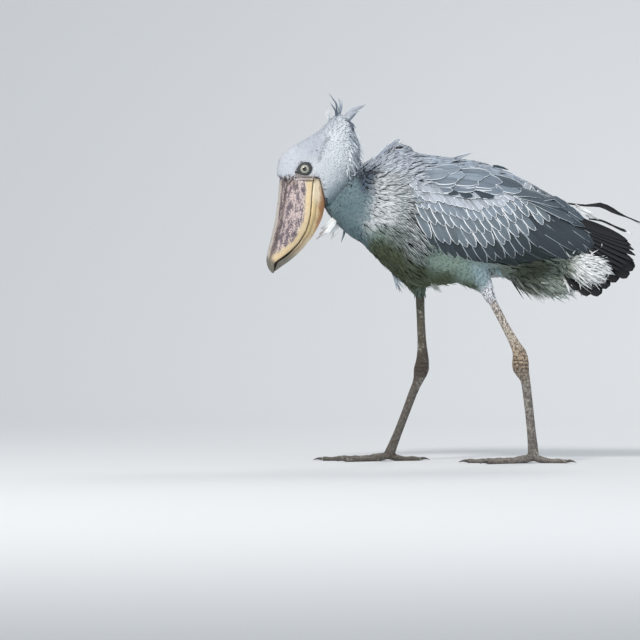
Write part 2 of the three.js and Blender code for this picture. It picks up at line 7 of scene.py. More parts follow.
# %% Load the frame
import math
import bpy
import numpy as np
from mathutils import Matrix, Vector
from mathutils.bvhtree import BVHTree
from mathutils.kdtree import KDTree


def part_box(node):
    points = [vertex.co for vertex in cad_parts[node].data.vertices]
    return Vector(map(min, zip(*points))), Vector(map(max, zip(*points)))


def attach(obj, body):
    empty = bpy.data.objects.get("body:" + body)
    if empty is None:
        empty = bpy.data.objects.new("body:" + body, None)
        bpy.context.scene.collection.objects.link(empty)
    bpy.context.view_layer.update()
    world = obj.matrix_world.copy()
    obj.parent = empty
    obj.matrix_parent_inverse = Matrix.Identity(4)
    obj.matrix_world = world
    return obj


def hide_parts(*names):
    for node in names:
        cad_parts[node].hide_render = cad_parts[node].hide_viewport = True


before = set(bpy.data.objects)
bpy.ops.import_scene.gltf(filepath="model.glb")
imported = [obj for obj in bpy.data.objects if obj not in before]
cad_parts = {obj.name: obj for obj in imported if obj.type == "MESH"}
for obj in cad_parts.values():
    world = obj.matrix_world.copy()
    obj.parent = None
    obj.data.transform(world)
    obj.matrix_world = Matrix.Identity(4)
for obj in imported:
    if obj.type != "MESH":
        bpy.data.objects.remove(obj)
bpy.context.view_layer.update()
MM = 0.001
BIRD_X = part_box("trunk")[0].x + 0.224  # the frame's origin is the footprint's middle, the tables' is the trunk's
LEFT, RIGHT = -1, 1
print("nodes:", len(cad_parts), "origin of the tables:", round(BIRD_X, 4))

# %% [markdown]
# ## The camera
# The picture was taken from far away with a long lens, almost level, so that lines hardly converge. A camera 15 m
# away with a 344 mm lens does the same. Its height puts the horizon where the picture has it.

# %% Camera
PIXEL = 2.45 * MM  # what one pixel of the picture covers at the bird
PICTURE_WIDTH = 640 * PIXEL
CAMERA_DISTANCE = 15.0
CAMERA_HEIGHT = 0.723
PICTURE_CENTRE = Vector((BIRD_X - 0.327, 0, 0.348))

bpy.ops.object.camera_add(location=(PICTURE_CENTRE.x, -CAMERA_DISTANCE, CAMERA_HEIGHT))
camera = bpy.context.object
camera.name = "camera"
camera.rotation_euler = (PICTURE_CENTRE - camera.location).to_track_quat("-Z", "Y").to_euler()
camera.data.lens = camera.data.sensor_width * CAMERA_DISTANCE / PICTURE_WIDTH
camera.data.clip_end = 60
bpy.context.scene.camera = camera
print("lens:", round(camera.data.lens), "mm")

# %% [markdown]
# ## Studio
# A pale sweep stands behind and under the bird. A big soft lamp high on the left does the sun's work, and the world
# fills the shade, so that the feathers keep their own greys.

# %% Studio
def alone():
    """Nothing is selected, so that the next operator acts only on what it adds."""
    bpy.ops.object.select_all(action="DESELECT")


def only(piece):
    alone()
    piece.select_set(True)
    bpy.context.view_layer.objects.active = piece


def studio_sweep():
    """A wide floor that turns up into a narrow wall in one soft bend."""
    alone()
    bpy.ops.mesh.primitive_plane_add(size=1)
    sweep = bpy.context.object
    sweep.name = "studio_sweep"
    near, bend, radius, wall, floor_half, wall_half = -30.0, 2.2, 2.2, 7.0, 30.0, 3.4
    arc = [(bend + radius * math.sin(a), radius - radius * math.cos(a)) for a in np.linspace(0, math.pi / 2, 14)]
    profile = [(near, 0.0, floor_half), (bend - 0.4, 0.0, floor_half), *((*spot, wall_half) for spot in arc),
               (arc[-1][0], wall, wall_half)]
    points = [(half * sign, y, z) for sign in (-1, 1) for y, z, half in profile]
    count = len(profile)
    faces = [(i, i + count, i + count + 1, i + 1) for i in range(count - 1)]
    sweep.data.clear_geometry()
    sweep.data.from_pydata(points, [], faces)
    sweep.data.shade_smooth()
    return sweep


def lamp(name, place, aim, size, watts, colour):
    alone()
    bpy.ops.object.light_add(type="AREA", location=place)
    light = bpy.context.object
    light.name = name
    light.rotation_euler = (Vector(aim) - Vector(place)).to_track_quat("-Z", "Y").to_euler()
    light.data.shape = "DISK"
    light.data.size = size
    light.data.energy = watts
    light.data.color = colour
    return light


sweep = studio_sweep()
BIRD_MIDDLE = (0, 0, 0.5)
lamp("key", (-2.2, -3.2, 4.4), BIRD_MIDDLE, 1.2, 215, (1.0, 0.97, 0.92))
lamp("fill", (2.8, -3.6, 1.6), BIRD_MIDDLE, 2.4, 45, (0.90, 0.95, 1.0))
lamp("rim", (1.5, 3.0, 3.2), BIRD_MIDDLE, 1.6, 60, (1.0, 0.98, 0.95))
world = bpy.data.worlds.new("studio")
bpy.context.scene.world = world
world.use_nodes = True
world.node_tree.nodes["Background"].inputs["Color"].default_value = (0.86, 0.92, 1.0, 1)
world.node_tree.nodes["Background"].inputs["Strength"].default_value = 0.62
bpy.context.scene.view_settings.view_transform = "Standard"

# %% [markdown]
# ## Shader maths
# Every finish below is a formula on a few sockets. This wrapper lets the formulas be written as Python does sums, and
# one method adds any other node.

# %% Shader helpers
class Signal:
    """A shader socket that Python's operators work on."""

    def __init__(self, paint, socket):
        self.paint = paint
        self.socket = socket

    def maths(self, operation, *others):
        return self.paint.add("ShaderNodeMath", {"operation": operation}, (self, *others))

    def __add__(self, other):
        return self.maths("ADD", other)

    def __mul__(self, other):
        return self.maths("MULTIPLY", other)

    def __sub__(self, other):
        return self.maths("SUBTRACT", other)

    def __rsub__(self, other):
        return (self * -1) + other

    __radd__ = __add__
    __rmul__ = __mul__

    def ramp(self, low, high):
        """0 below low, 1 above high, and a smooth step between. low may be the larger."""
        settings = {"interpolation_type": "SMOOTHSTEP"}
        return self.paint.add("ShaderNodeMapRange", settings, {"Value": self, "From Min": low, "From Max": high})


class Paint:
    """One material, with a short way to add nodes to it."""

    def __init__(self, name, **sockets):
        self.material = bpy.data.materials.new(name)
        self.material.use_nodes = True
        self.tree = self.material.node_tree
        self.shader = self.tree.nodes["Principled BSDF"]
        by_name = {socket.name.lower().replace(" ", "_"): socket for socket in self.shader.inputs}
        for name, value in sockets.items():
            self.feed(by_name[name], value)

    def feed(self, socket, value):
        if isinstance(value, Signal):
            self.tree.links.new(value.socket, socket)
        elif isinstance(value, tuple) and socket.type == "RGBA":
            socket.default_value = (*value[:3], 1)
        else:
            socket.default_value = value

    def add(self, kind, settings=None, inputs=(), output=0):
        """A node of that kind, as one of its outputs. Inputs are a list in order, or a dictionary by name."""
        node = self.tree.nodes.new(kind)
        for name, value in (settings or {}).items():
            setattr(node, name, value)
        pairs = inputs.items() if isinstance(inputs, dict) else enumerate(inputs)
        for name, value in pairs:
            self.feed(node.inputs[name], value)
        return Signal(self, node.outputs[output])

    def from_node(self, signal, output):
        """Another output of the node that gave a signal."""
        return Signal(self, signal.socket.node.outputs[output])

    def attribute(self, name, output="Fac"):
        return self.add("ShaderNodeAttribute", {"attribute_name": name}, output=output)

    def mix(self, share, first, second, blend="MIX"):
        """A colour between two others."""
        node = self.tree.nodes.new("ShaderNodeMix")
        node.data_type = "RGBA"
        node.blend_type = blend
        for index, value in zip((0, 6, 7), (share, first, second)):
            self.feed(node.inputs[index], value)
        return Signal(self, node.outputs[2])

    def blend(self, signal, low, high, first, second):
        """A colour that goes from one painter's colour to another while a signal goes from low to high."""
        return self.mix(signal.ramp(low, high), srgb(*first), srgb(*second))

    def wash(self, ground, *layers):
        """Layers of (share, colour) over a ground, one after another."""
        for share, colour in layers:
            ground = self.mix(share, ground, colour if isinstance(colour, Signal) else srgb(*colour))
        return ground

    def stretched(self, vector, scale):
        return self.add("ShaderNodeVectorMath", {"operation": "MULTIPLY"}, (vector, scale))

    def place(self, scale=(1, 1, 1)):
        """Object coordinates, scaled."""
        return self.stretched(self.add("ShaderNodeTexCoord", output="Object"), scale)

    def parts(self, vector):
        """The three parts of a vector, each as a signal."""
        first = self.add("ShaderNodeSeparateXYZ", inputs=(vector,))
        return first, self.from_node(first, 1), self.from_node(first, 2)

    def noise(self, vector, scale, detail=3.0, roughness=0.55):
        inputs = {"Vector": vector, "Scale": scale, "Detail": detail, "Roughness": roughness}
        return self.add("ShaderNodeTexNoise", inputs=inputs)

    def bump(self, height, distance, strength=1.0):
        inputs = {"Height": height, "Distance": distance, "Strength": strength}
        self.feed(self.shader.inputs["Normal"], self.add("ShaderNodeBump", inputs=inputs))

    def colour(self, value):
        self.feed(self.shader.inputs["Base Color"], value)


def srgb(*channels):
    """A colour as a painting program gives it, 0 to 255, turned into the light it reflects."""
    return tuple(c / 3294.6 if c <= 10.31 else ((c / 255 + 0.055) / 1.055) ** 2.4 for c in channels)


sweep_paint = Paint("studio_paper", base_color=srgb(202, 204, 206), roughness=0.9)
paper = sweep_paint.noise(sweep_paint.place(), 180.0)
sweep_paint.bump(paper, 0.0004, 0.2)
sweep.data.materials.append(sweep_paint.material)
print("paper ready")

# %% [markdown]
# ## Skin
# Under the feathers a real bird has one skin over breast, wings, thighs and legs. Copies of the flesh solids are
# pushed out by a hair so that they overlap, melted together by a voxel remesh, smoothed, and then drawn in by the
# depth of the plumage that will cover them. The bare legs aren't drawn in at all.

# %% Melt the flesh solids together
SIDES = ("left", "right")
TOES = ("hallux", "inner_toe", "middle_toe", "outer_toe")
FEATHERED = ["trunk", "neck", "head", "mantle_ruff", "vent_feathers",
             *(f"{part}_{side}" for part in ("thigh", "wing", "undertail_tuft") for side in SIDES)]
BARE = [f"{part}_{side}" for part in ("tibia", "tarsus", *TOES) for side in SIDES]
SKIN_VOXEL = 3.1 * MM


def copy_of(names, piece_name, swell=0.0):
    """One new object with the merged meshes of those nodes, each pushed out a little."""
    alone()
    for name in names:
        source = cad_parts[name]
        twin = bpy.data.objects.new(name + "_twin", source.data.copy())
        bpy.context.collection.objects.link(twin)
        twin.select_set(True)
        bpy.context.view_layer.objects.active = twin
    bpy.ops.object.join()
    piece = bpy.context.object
    piece.name = piece_name
    piece.data.name = piece_name
    bpy.ops.object.mode_set(mode="EDIT")
    bpy.ops.mesh.select_all(action="SELECT")
    bpy.ops.mesh.remove_doubles(threshold=1e-6)
    if swell:
        bpy.ops.transform.shrink_fatten(value=swell)
    bpy.ops.object.mode_set(mode="OBJECT")
    return piece


def apply(piece, kind, **settings):
    """Adds a modifier to a piece and applies it at once."""
    only(piece)
    modifier = piece.modifiers.new(kind.lower(), kind)
    for name, value in settings.items():
        setattr(modifier, name, value)
    bpy.ops.object.modifier_apply(modifier=modifier.name)


def read(items, field, width=1, kind=np.float32):
    """One field of all the items of a mesh, as an array with that many columns."""
    flat = np.empty(len(items) * width, kind)
    items.foreach_get(field, flat)
    return flat.reshape(-1, width)


def write(items, field, values, kind=np.float32):
    items.foreach_set(field, np.asarray(values, kind).ravel())


def points_of(piece):
    return read(piece.data.vertices, "co", 3).astype(float)


def normals_of(piece):
    return read(piece.data.vertex_normals, "vector", 3).astype(float)


def move_points(piece, points):
    write(piece.data.vertices, "co", points)
    piece.data.update()


def weigh(piece, name, weights):
    """A vertex group with one weight for each point, in twenty steps."""
    group = piece.vertex_groups.new(name=name)
    steps = np.round(np.clip(weights, 0, 1) * 20).astype(int)
    for step in np.unique(steps):
        group.add(np.nonzero(steps == step)[0].tolist(), step / 20, "REPLACE")


def smooth_step(low, high, values):
    t = np.clip((values - low) / (high - low), 0, 1)
    return t * t * (3 - 2 * t)


def between(values, low, high):
    return (values > low) & (values < high)


def table_mm(points):
    """Points of the frame in metres, in the tables' millimetres."""
    return (points - [BIRD_X, 0, 0]) / MM


def metres(points):
    """Points of the tables, in the frame's metres."""
    return points * MM + [BIRD_X, 0, 0]


def finish_with(piece, material):
    """One material over the whole piece."""
    piece.data.materials.clear()
    piece.data.materials.append(material)
    write(piece.data.polygons, "material_index", np.zeros(len(piece.data.polygons)), np.int32)


skin = copy_of(FEATHERED + BARE, "skin", swell=0.5 * MM)
apply(skin, "REMESH", mode="VOXEL", voxel_size=SKIN_VOXEL, use_smooth_shade=True)
print("skin after the remesh:", len(skin.data.polygons), "faces")

# %% [markdown]
# ## Where the feathers end
# The feathered body is soft and round, but the bare legs keep their knobs and tendons. A vertex group says how strongly
# each point is smoothed: fully under the plumage, and hardly at all below the line where each thigh's feathers end.

# %% Smooth the skin
THIGH_END = {LEFT: 401, RIGHT: 414}


def over_bare_leg(at):
    """The height over the line where the feathers of the nearer thigh end."""
    return at[:, 2] - np.where(at[:, 1] < 0, THIGH_END[LEFT], THIGH_END[RIGHT])


at = table_mm(points_of(skin))
plumed = smooth_step(-12, 30, over_bare_leg(at))
weigh(skin, "plumed", plumed * 0.9 + 0.1)
apply(skin, "SMOOTH", factor=0.5, iterations=24, vertex_group="plumed")
print("points under feathers:", int((plumed > 0.5).sum()))

# %% [markdown]
# ## Room for the coat
# The solids include the plumage, so the skin has to lie deeper by its depth: short on the face, longer on the body. A
# Displace modifier could do that, but it would turn thin parts inside out, so a ray first measures how thick the body
# is at each point, and no point sinks by more than a share of that.

# %% Draw the skin in
COAT_MM = 9  # the plumage's depth on the body, and how much less it is on the head and in the face
HEAD_LESS, FACE_LESS = 4.5, 2.5
DEEPEST_SHARE = 0.3
RAY_LENGTH = 0.05


def inside_depth(points, normals, tree, limit):
    """How far it is through the body, straight in from each point."""
    found = np.full(len(points), limit)
    for i, (point, normal) in enumerate(zip(points, normals)):
        start = Vector(point - normal * 1e-4)
        hit = tree.ray_cast(start, Vector(-normal), limit)
        if hit[0] is not None:
            found[i] = hit[3]
    return found


def head_share(at):
    """1 on the head, fading to 0 down the neck."""
    return smooth_step(-215, -262, at[:, 0]) * smooth_step(560, 640, at[:, 2])


def face_share(at, height=700):
    return smooth_step(110, 40, np.hypot(at[:, 0] + 385, at[:, 2] - height))


def coat_depth(at):
    """The plumage's depth in millimetres at points of the tables' frame."""
    return COAT_MM - HEAD_LESS * head_share(at) - FACE_LESS * face_share(at)


tree = BVHTree.FromObject(skin, bpy.context.evaluated_depsgraph_get())
places, outward = points_of(skin), normals_of(skin)
through = inside_depth(places, outward, tree, RAY_LENGTH) / MM
depth = np.minimum(coat_depth(at) * plumed, DEEPEST_SHARE * through)
move_points(skin, places - outward * depth[:, None] * MM)
apply(skin, "SMOOTH", factor=0.5, iterations=8, vertex_group="plumed")
skin_tree = BVHTree.FromObject(skin, bpy.context.evaluated_depsgraph_get())
print("skin drawn in by", round(float(depth.max()), 1), "mm at most")

# %% [markdown]
# ## One vane, drawn once
# A feather's vane is a thin leaf: narrow at its root, widest past the middle, a little domed and closed all round. It
# could be a flat card with a cut-out picture, but then its edges would have no thickness from the side. Here a rod with
# four or eight sides is cut across at a few stations. Each corner of the rod tells which corner of a vane it becomes.

# %% Pattern vanes
class Pattern:
    """The corners and faces of one vane, read from a rod that is cut across at its stations.

    stations are shares of the vane's length, and widths its half width at each, as shares of the widest.
    """

    def __init__(self, sides, stations, widths):
        alone()
        bpy.ops.mesh.primitive_cylinder_add(vertices=sides, radius=1, depth=1, location=(0, 0, 0.5))
        bpy.ops.object.transform_apply(location=True)
        bpy.ops.object.mode_set(mode="EDIT")
        for station in stations[1:-1]:
            bpy.ops.mesh.select_all(action="SELECT")
            bpy.ops.mesh.bisect(plane_co=(0, 0, station), plane_no=(0, 0, 1))
        bpy.ops.object.mode_set(mode="OBJECT")
        rod = bpy.context.object
        at = points_of(rod)
        self.stations = np.array(stations)
        self.row = np.abs(at[:, 2:3] - self.stations).argmin(axis=1)
        self.across = at[:, 0]
        self.height = at[:, 1]
        self.half = np.array(widths)[self.row]
        self.loops = np.array([corner.vertex_index for corner in rod.data.loops])
        self.starts = np.array([face.loop_start for face in rod.data.polygons])
        self.is_cap = np.zeros(len(self.loops), bool)
        for face in rod.data.polygons:
            corners = slice(face.loop_start, face.loop_start + face.loop_total)
            self.is_cap[corners] = len(set(self.row[self.loops[corners]])) == 1
        bpy.data.objects.remove(rod)


ROUNDED = Pattern(4, (0, 0.34, 0.78, 1), (0.4, 0.95, 0.9, 0.3))
LANCE = Pattern(4, (0, 0.3, 0.66, 1), (0.5, 1.0, 0.8, 0.14))
COVERT = Pattern(4, (0, 0.2, 0.45, 0.68, 0.84, 0.95, 1), (0.4, 0.72, 0.98, 0.96, 0.70, 0.36, 0.10))
BLADE = Pattern(8, (0, 0.12, 0.3, 0.5, 0.7, 0.84, 0.94, 1), (0.3, 0.72, 0.95, 1.0, 0.92, 0.72, 0.42, 0.10))
BROAD = Pattern(8, (0, 0.2, 0.45, 0.7, 0.88, 0.96, 1), (0.3, 0.7, 0.9, 1.0, 1.0, 0.8, 0.4))
WISP = Pattern(4, (0, 0.25, 0.5, 0.75, 1), (0.7, 1.0, 0.9, 0.6, 0.12))
print("corners of a vane:", [len(p.row) for p in (ROUNDED, LANCE, COVERT, BLADE, WISP)])

# %% [markdown]
# ## Where a root lies on the skin's own map
# The bake needs to know which bit of skin each vane grows from. The skin is unwrapped like a sleeve: the distance along
# a line through the body is one direction of the map, and the angle round that line is the other.

# %% The sleeve
CORE = np.array([(-440, 0, 690), (-372, 0, 752), (-300, 0, 742), (-258, 0, 660), (-200, 0, 635), (-90, 0, 600),
                 (100, 0, 580), (260, 0, 552), (380, 0, 526)], float)


def sleeve_place(at):
    """Two shares between 0 and 1 for points of the tables: along the body's core, and round it."""
    lengths = np.linalg.norm(np.diff(CORE, axis=0), axis=1)
    begin = np.concatenate([[0], np.cumsum(lengths)])
    best = np.full(len(at), np.inf)
    place = np.zeros((len(at), 2))
    for i, length in enumerate(lengths):
        tangent = (CORE[i + 1] - CORE[i]) / length
        share = np.clip((at - CORE[i]) @ tangent / length, 0, 1)
        away = at - CORE[i] - share[:, None] * tangent * length
        distance = np.linalg.norm(away, axis=1)
        upward = np.array([-tangent[2], 0, tangent[0]])
        angle = np.arctan2(away[:, 1], away @ upward)
        closer = distance < best
        best = np.where(closer, distance, best)
        along = (begin[i] + share * length) / begin[-1]
        place[closer] = np.stack([along, angle / (2 * math.pi) + 0.5], axis=1)[closer]
    return place


def map_place(at):
    """The place on the whole map: the body's sleeve on the left, and a smaller sleeve for each thigh on the right."""
    place = sleeve_place(at) * [0.7, 0.94] + [0.02, 0.03]
    for side, x in ((LEFT, 60), (RIGHT, -92)):
        thigh = (at[:, 2] < 470) & (at[:, 1] * side > 15) & (np.abs(at[:, 0] - x) < 75)
        angle = np.arctan2(at[:, 1] - 58 * side, at[:, 0] - x) / (2 * math.pi) + 0.5
        row = (at[:, 2] - 390) / 80
        place[thigh] = np.stack([0.76 + 0.2 * angle, (0.05 if side == LEFT else 0.53) + 0.4 * row], axis=1)[thigh]
    return place


print("the core is", round(float(np.linalg.norm(np.diff(CORE, axis=0), axis=1).sum())), "mm long")

# %% [markdown]
# ## Growing vanes along their spines
# All vanes of one piece are worked out at once with arrays. Each gets its own spine, width, dome, twist and two
# colours: the web's, and the pale rim's. The colours are stored at the corners, so a shader can read them.

# %% Grow
BAKE_PATCH = 0.003  # the side of one feather's patch on the skin's map


def unit(vectors):
    return vectors / np.maximum(np.linalg.norm(vectors, axis=-1, keepdims=True), 1e-9)


def new_piece(name, points, loops, starts):
    """A mesh object from arrays. The points are in the tables' millimetres."""
    mesh = bpy.data.meshes.new(name)
    mesh.vertices.add(len(points))
    mesh.loops.add(len(loops))
    mesh.polygons.add(len(starts))
    write(mesh.vertices, "co", metres(points))
    write(mesh.loops, "vertex_index", loops, np.int32)
    write(mesh.polygons, "loop_start", starts, np.int32)
    mesh.update(calc_edges=True)
    piece = bpy.data.objects.new(name, mesh)
    bpy.context.collection.objects.link(piece)
    return piece


def grow(name, pattern, spines, ups, half, web, rim, rim_mm, thick=0.5, camber=0.22, roll=0.0):
    """One closed mesh of vanes. half is each vane's half width, and rim_mm the width of its rim."""
    count = len(spines)
    corners = len(pattern.row)
    along = unit(np.gradient(spines, axis=1))
    side = unit(np.cross(ups, along))
    up = np.cross(along, side)
    turn = np.broadcast_to(np.asarray(roll, float), (count,))[:, None, None]
    side, up = side * np.cos(turn) + up * np.sin(turn), up * np.cos(turn) - side * np.sin(turn)
    wide = half[:, None] * pattern.half
    height = camber * (1 - pattern.across ** 2) * wide + thick * 0.5 * pattern.height * (0.4 + 0.6 * pattern.half)
    points = spines[:, pattern.row] + side[:, pattern.row] * (wide * pattern.across)[..., None]
    points = points + up[:, pattern.row] * height[..., None]
    order = np.arange(count)[:, None]
    loops = (pattern.loops + corners * order).ravel()
    starts = (pattern.starts + len(pattern.loops) * order).ravel()
    piece = new_piece(name, points.reshape(-1, 3), loops, starts)
    mesh = piece.data

    reach = np.linalg.norm(np.diff(spines, axis=1), axis=2).sum(axis=1)
    for key, colour, share in (("web", web, rim_mm / half), ("rim", rim, rim_mm / reach)):
        values = np.concatenate([colour, share[:, None]], axis=1)
        write(mesh.attributes.new(key, "FLOAT_COLOR", "POINT").data, "color", np.repeat(values, corners, axis=0))

    own = np.stack([pattern.stations[pattern.row], (pattern.across + 1) / 2], axis=1)[pattern.loops]
    patch = np.where(pattern.is_cap[:, None], own + pattern.height[pattern.loops][:, None] * [[0.1, 0]], own)
    write(mesh.uv_layers.new(name="vane").uv, "vector", np.broadcast_to(own, (count, *own.shape)))
    baked = map_place(spines[:, 0])[:, None] + (patch - 0.5) * BAKE_PATCH
    write(mesh.uv_layers.new(name="OFBake").uv, "vector", baked)

    ends = read(mesh.edges, "vertices", 2, np.int32)
    at_rim = np.abs(pattern.across[ends % corners]) > 0.99
    write(mesh.attributes.new("sharp_edge", "BOOLEAN", "EDGE").data, "value", at_rim.all(axis=1), bool)
    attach(piece, "root")
    return piece


def triangles_of(*pieces):
    return sum(len(p.data.loops) - 2 * len(p.data.polygons) for p in pieces)


print("skin:", triangles_of(skin), "triangles")

# %% [markdown]
# ## Plumages
# The coat has more than twenty kinds of feather. Each has a colour for its web, one for its rim, and the rim's width.
# The paler the rim and the darker the web, the more the feathers show one by one, as on the wing.

# %% Plumages
PLUMAGES = {  # the web's colour, the rim's colour, and the rim's width in millimetres
    "face": ((192, 196, 204), (198, 202, 210), 0.8),
    "crown": ((172, 178, 188), (180, 186, 196), 0.9),
    "slate": ((84, 94, 108), (140, 150, 163), 0.8),
    "cheek": ((208, 213, 218), (213, 218, 222), 0.9),
    "throat": ((160, 173, 180), (170, 182, 189), 0.9),
    "nape": ((126, 138, 150), (200, 208, 214), 1.0),
    # neck: the neck's own blue-grey, darkened by the head's painted shadow
    "neck": ((94, 116, 122), (106, 128, 134), 1.0),
    # painted shade: the dark crease where head, neck and mantle meet
    "shaded_hollow": ((48, 62, 80), (60, 74, 92), 0.8),
    "pale": ((196, 200, 203), (234, 236, 238), 1.4),
    "streak": ((114, 122, 124), (228, 231, 232), 1.5),
    "breast": ((84, 95, 92), (168, 176, 172), 1.2),
    "mantle": ((158, 166, 178), (222, 226, 231), 1.3),
    "back": ((140, 152, 166), (210, 216, 223), 1.5),
    "rump": ((92, 103, 116), (158, 168, 178), 1.2),
    "flank": ((114, 133, 124), (126, 145, 136), 1.0),
    # belly: slate grey darkened by painted shade and tinted olive by painted green light thrown up from the ground
    "belly": ((66, 75, 50), (88, 97, 70), 1.0),
    "thigh": ((132, 153, 158), (148, 167, 172), 1.0),
    "knee": ((224, 227, 234), (250, 250, 252), 1.2),
    "shank": ((186, 186, 192), (228, 228, 232), 0.9),
    "vent": ((108, 119, 108), (146, 155, 146), 1.0),
    # shade: painted shade under the wing and vent, tinted by painted green light from the ground
    "shade": ((64, 72, 56), (86, 94, 78), 1.0),
    "vent_pale": ((178, 186, 176), (216, 221, 214), 1.1),
    "down": ((232, 234, 234), (248, 249, 249), 0.8),
    "lesser": ((168, 175, 184), (240, 243, 245), 2.2),
    "median": ((130, 141, 152), (230, 234, 238), 2.6),
}
print("plumages:", len(PLUMAGES))

# %% [markdown]
# ## How the feathers lie
# On a real bird the feathers grow in tracts, and each tract has a lie. The tables below are comb strokes: at a place of
# the side view, the heading in degrees above level towards the tail, the length and width, and how far the tips stand
# out. They are grouped by plumage. Between the strokes, all of these blend.

# %% Comb strokes
BOTH = 0
BODY_STROKES = {  # side and plumage, then rows of x, z, heading, length, width, stand
    BOTH: {
        "face": [(-428, 742, 62, 7, 4, 0.1), (-405, 765, 45, 8, 4, 0.1), (-400, 725, 55, 7, 4, 0.1)],
        "crown": [
            (-380, 785, 34, 9, 4.2, 0.1), (-340, 806, 32, 12, 4.6, 0.2), (-304, 826, 55, 24, 5, 1.1),
            (-345, 765, 26, 9, 4.2, 0.1), (-335, 780, 26, 11, 4.4, 0.2)],
        "cheek": [
            (-286, 822, 40, 26, 5, 1.4), (-300, 790, 20, 13, 4.8, 0.3), (-280, 795, 10, 18, 4.8, 0.6),
            (-310, 750, 5, 10, 4.2, 0.2), (-332, 722, 4, 8, 4, 0.1), (-322, 692, -8, 10, 4.4, 0.2),
            (-285, 745, -20, 13, 4.8, 0.3), (-300, 715, -20, 13, 4.8, 0.3), (-360, 690, -10, 7, 3.8, 0.1),
            (-310, 690, -25, 12, 4.8, 0.3), (-264, 765, -40, 16, 4.8, 0.6), (-258, 735, -50, 16, 5, 0.4),
            (-278, 706, -50, 15, 5.2, 0.3)],
        "nape": [(-262, 800, -40, 22, 5, 1.3), (-244, 765, -64, 22, 5.4, 1.1)],
        "throat": [(-306, 672, -38, 14, 5, 0.3), (-262, 700, -55, 16, 5.2, 0.3), (-288, 680, -50, 15, 5.2, 0.3)],
        "neck": [
            (-305, 640, -58, 16, 5, 0.4), (-290, 612, -62, 22, 5, 0.5), (-258, 672, -58, 20, 5.6, 0.3),
            (-285, 648, -58, 18, 5.4, 0.3), (-258, 640, -58, 22, 5.6, 0.3), (-270, 660, -55, 20, 5.6, 0.4),
            (-245, 690, -60, 20, 5.6, 0.4), (-244, 640, -55, 26, 6, 0.4), (-225, 660, -50, 26, 6, 0.4),
            (-225, 615, -40, 28, 6, 0.5), (-250, 590, -50, 26, 6, 0.5), (-235, 560, -50, 28, 6.2, 0.6)],
        # painted shade in the crease between head and mantle
        "shaded_hollow": [
            (-226, 706, -50, 18, 6, 0.3), (-206, 706, -10, 14, 6, 0.2), (-220, 692, -50, 16, 6, 0.2),
            (-208, 698, -20, 14, 6, 0.2), (-218, 676, -50, 18, 6, 0.2)],
        "mantle": [
            (-230, 727, 42, 22, 6, 0.3), (-214, 729, 36, 24, 6, 0.4), (-202, 740, 18, 30, 7, 0.5),
            (-180, 750, 8, 30, 8, 0.7), (-130, 755, -6, 30, 10, 0.5), (-170, 722, 24, 32, 6, 0.7),
            (-130, 712, 22, 34, 7, 0.7), (-118, 682, 4, 34, 6, 0.8)],
        "pale": [
            (-190, 695, 6, 32, 6, 0.5), (-192, 665, 0, 32, 6, 0.4), (-196, 632, -12, 32, 6, 0.4),
            (-172, 648, -10, 38, 6.4, 0.8), (-178, 612, -20, 38, 6.2, 0.8), (-212, 604, -28, 30, 6, 0.3)],
        "streak": [
            (-150, 685, 12, 40, 6.6, 0.9), (-145, 648, -6, 44, 6.8, 1.1), (-120, 640, -18, 40, 6.8, 1.3),
            (-145, 610, -18, 44, 6.8, 1.2), (-118, 600, -30, 40, 6.8, 1.3), (-112, 550, -40, 38, 6, 1.2)],
        "flank": [(-195, 572, -32, 32, 6, 0.4)],
        "breast": [(-150, 570, -30, 38, 6, 1), (-98, 518, -42, 36, 6, 1.1)],
        "belly": [
            (-200, 548, -40, 30, 6, 0.4), (-180, 532, -45, 30, 6, 0.5), (-150, 520, -42, 32, 6, 0.6),
            (-140, 480, -48, 28, 6, 0.5), (-95, 478, -38, 28, 6, 0.5), (-60, 440, -30, 24, 7, 0.4),
            (20, 440, -15, 24, 7, 0.3)],
        "back": [(-60, 745, -8, 32, 13, 0.3), (20, 748, -12, 32, 13, 0.3), (130, 710, -20, 34, 15, 0.3)],
        "rump": [(200, 670, -28, 36, 14, 0.3), (280, 620, -36, 36, 12, 0.4), (350, 575, -40, 34, 10, 0.5)],
        "vent": [(110, 476, -20, 26, 7, 0.4), (230, 455, -28, 32, 7, 0.7), (250, 480, -28, 32, 7, 0.9)],
        "shade": [(150, 470, -22, 28, 7, 0.5), (190, 476, -25, 30, 7, 0.6)],
        "vent_pale": [(268, 442, -30, 30, 6.4, 0.8)],
        "down": [(330, 500, -32, 26, 5, 0.9)],
    },
    LEFT: {
        "belly": [(-30, 465, -22, 22, 7, 0.3)],
        "flank": [
            (-62, 505, -22, 22, 8, 0.1), (-30, 492, -26, 22, 8, 0.1), (5, 480, -34, 22, 8, 0.1),
            (20, 462, -40, 21, 7.6, 0.1)],
        "thigh": [(48, 478, -45, 20, 7.6, 0.1), (62, 456, -60, 17, 6.4, 0.1)],
        "knee": [(84, 434, -68, 10, 4.4, 0.3), (92, 414, -72, 9, 4, 0.3)],
        "shank": [(100, 400, -76, 8, 3.4, 0.2)],
    },
    # on the far side the dark belly colours reach higher: painted shade of the side turned from the key lamp
    RIGHT: {
        "belly": [(-105, 500, -75, 22, 7, 0.4), (-95, 450, -86, 18, 6, 0.4)],
        "flank": [(-80, 424, -88, 11, 4, 0.3)],
    },
}
WING_STROKES = {  # the same for the folded wings
    BOTH: {
        "lesser": [
            (-100, 620, -58, 22, 8, 0.5), (-85, 655, -38, 22, 9, 0.4), (-40, 660, -42, 24, 10, 0.3),
            (20, 660, -46, 26, 11, 0.3), (90, 655, -52, 27, 11, 0.3), (-60, 615, -54, 28, 11, 0.3),
            (20, 622, -54, 30, 12, 0.3), (100, 620, -56, 30, 12, 0.3)],
        "back": [(160, 660, -30, 26, 9, 0.1)],
        "rump": [(200, 650, -34, 26, 9, 0.1), (280, 600, -48, 34, 14, 0.3)],
        "flank": [(-80, 560, -60, 26, 9, 0.1), (30, 560, -40, 26, 9, 0.1)],
        "shade": [(160, 560, -40, 26, 9, 0.1)],
    },
}
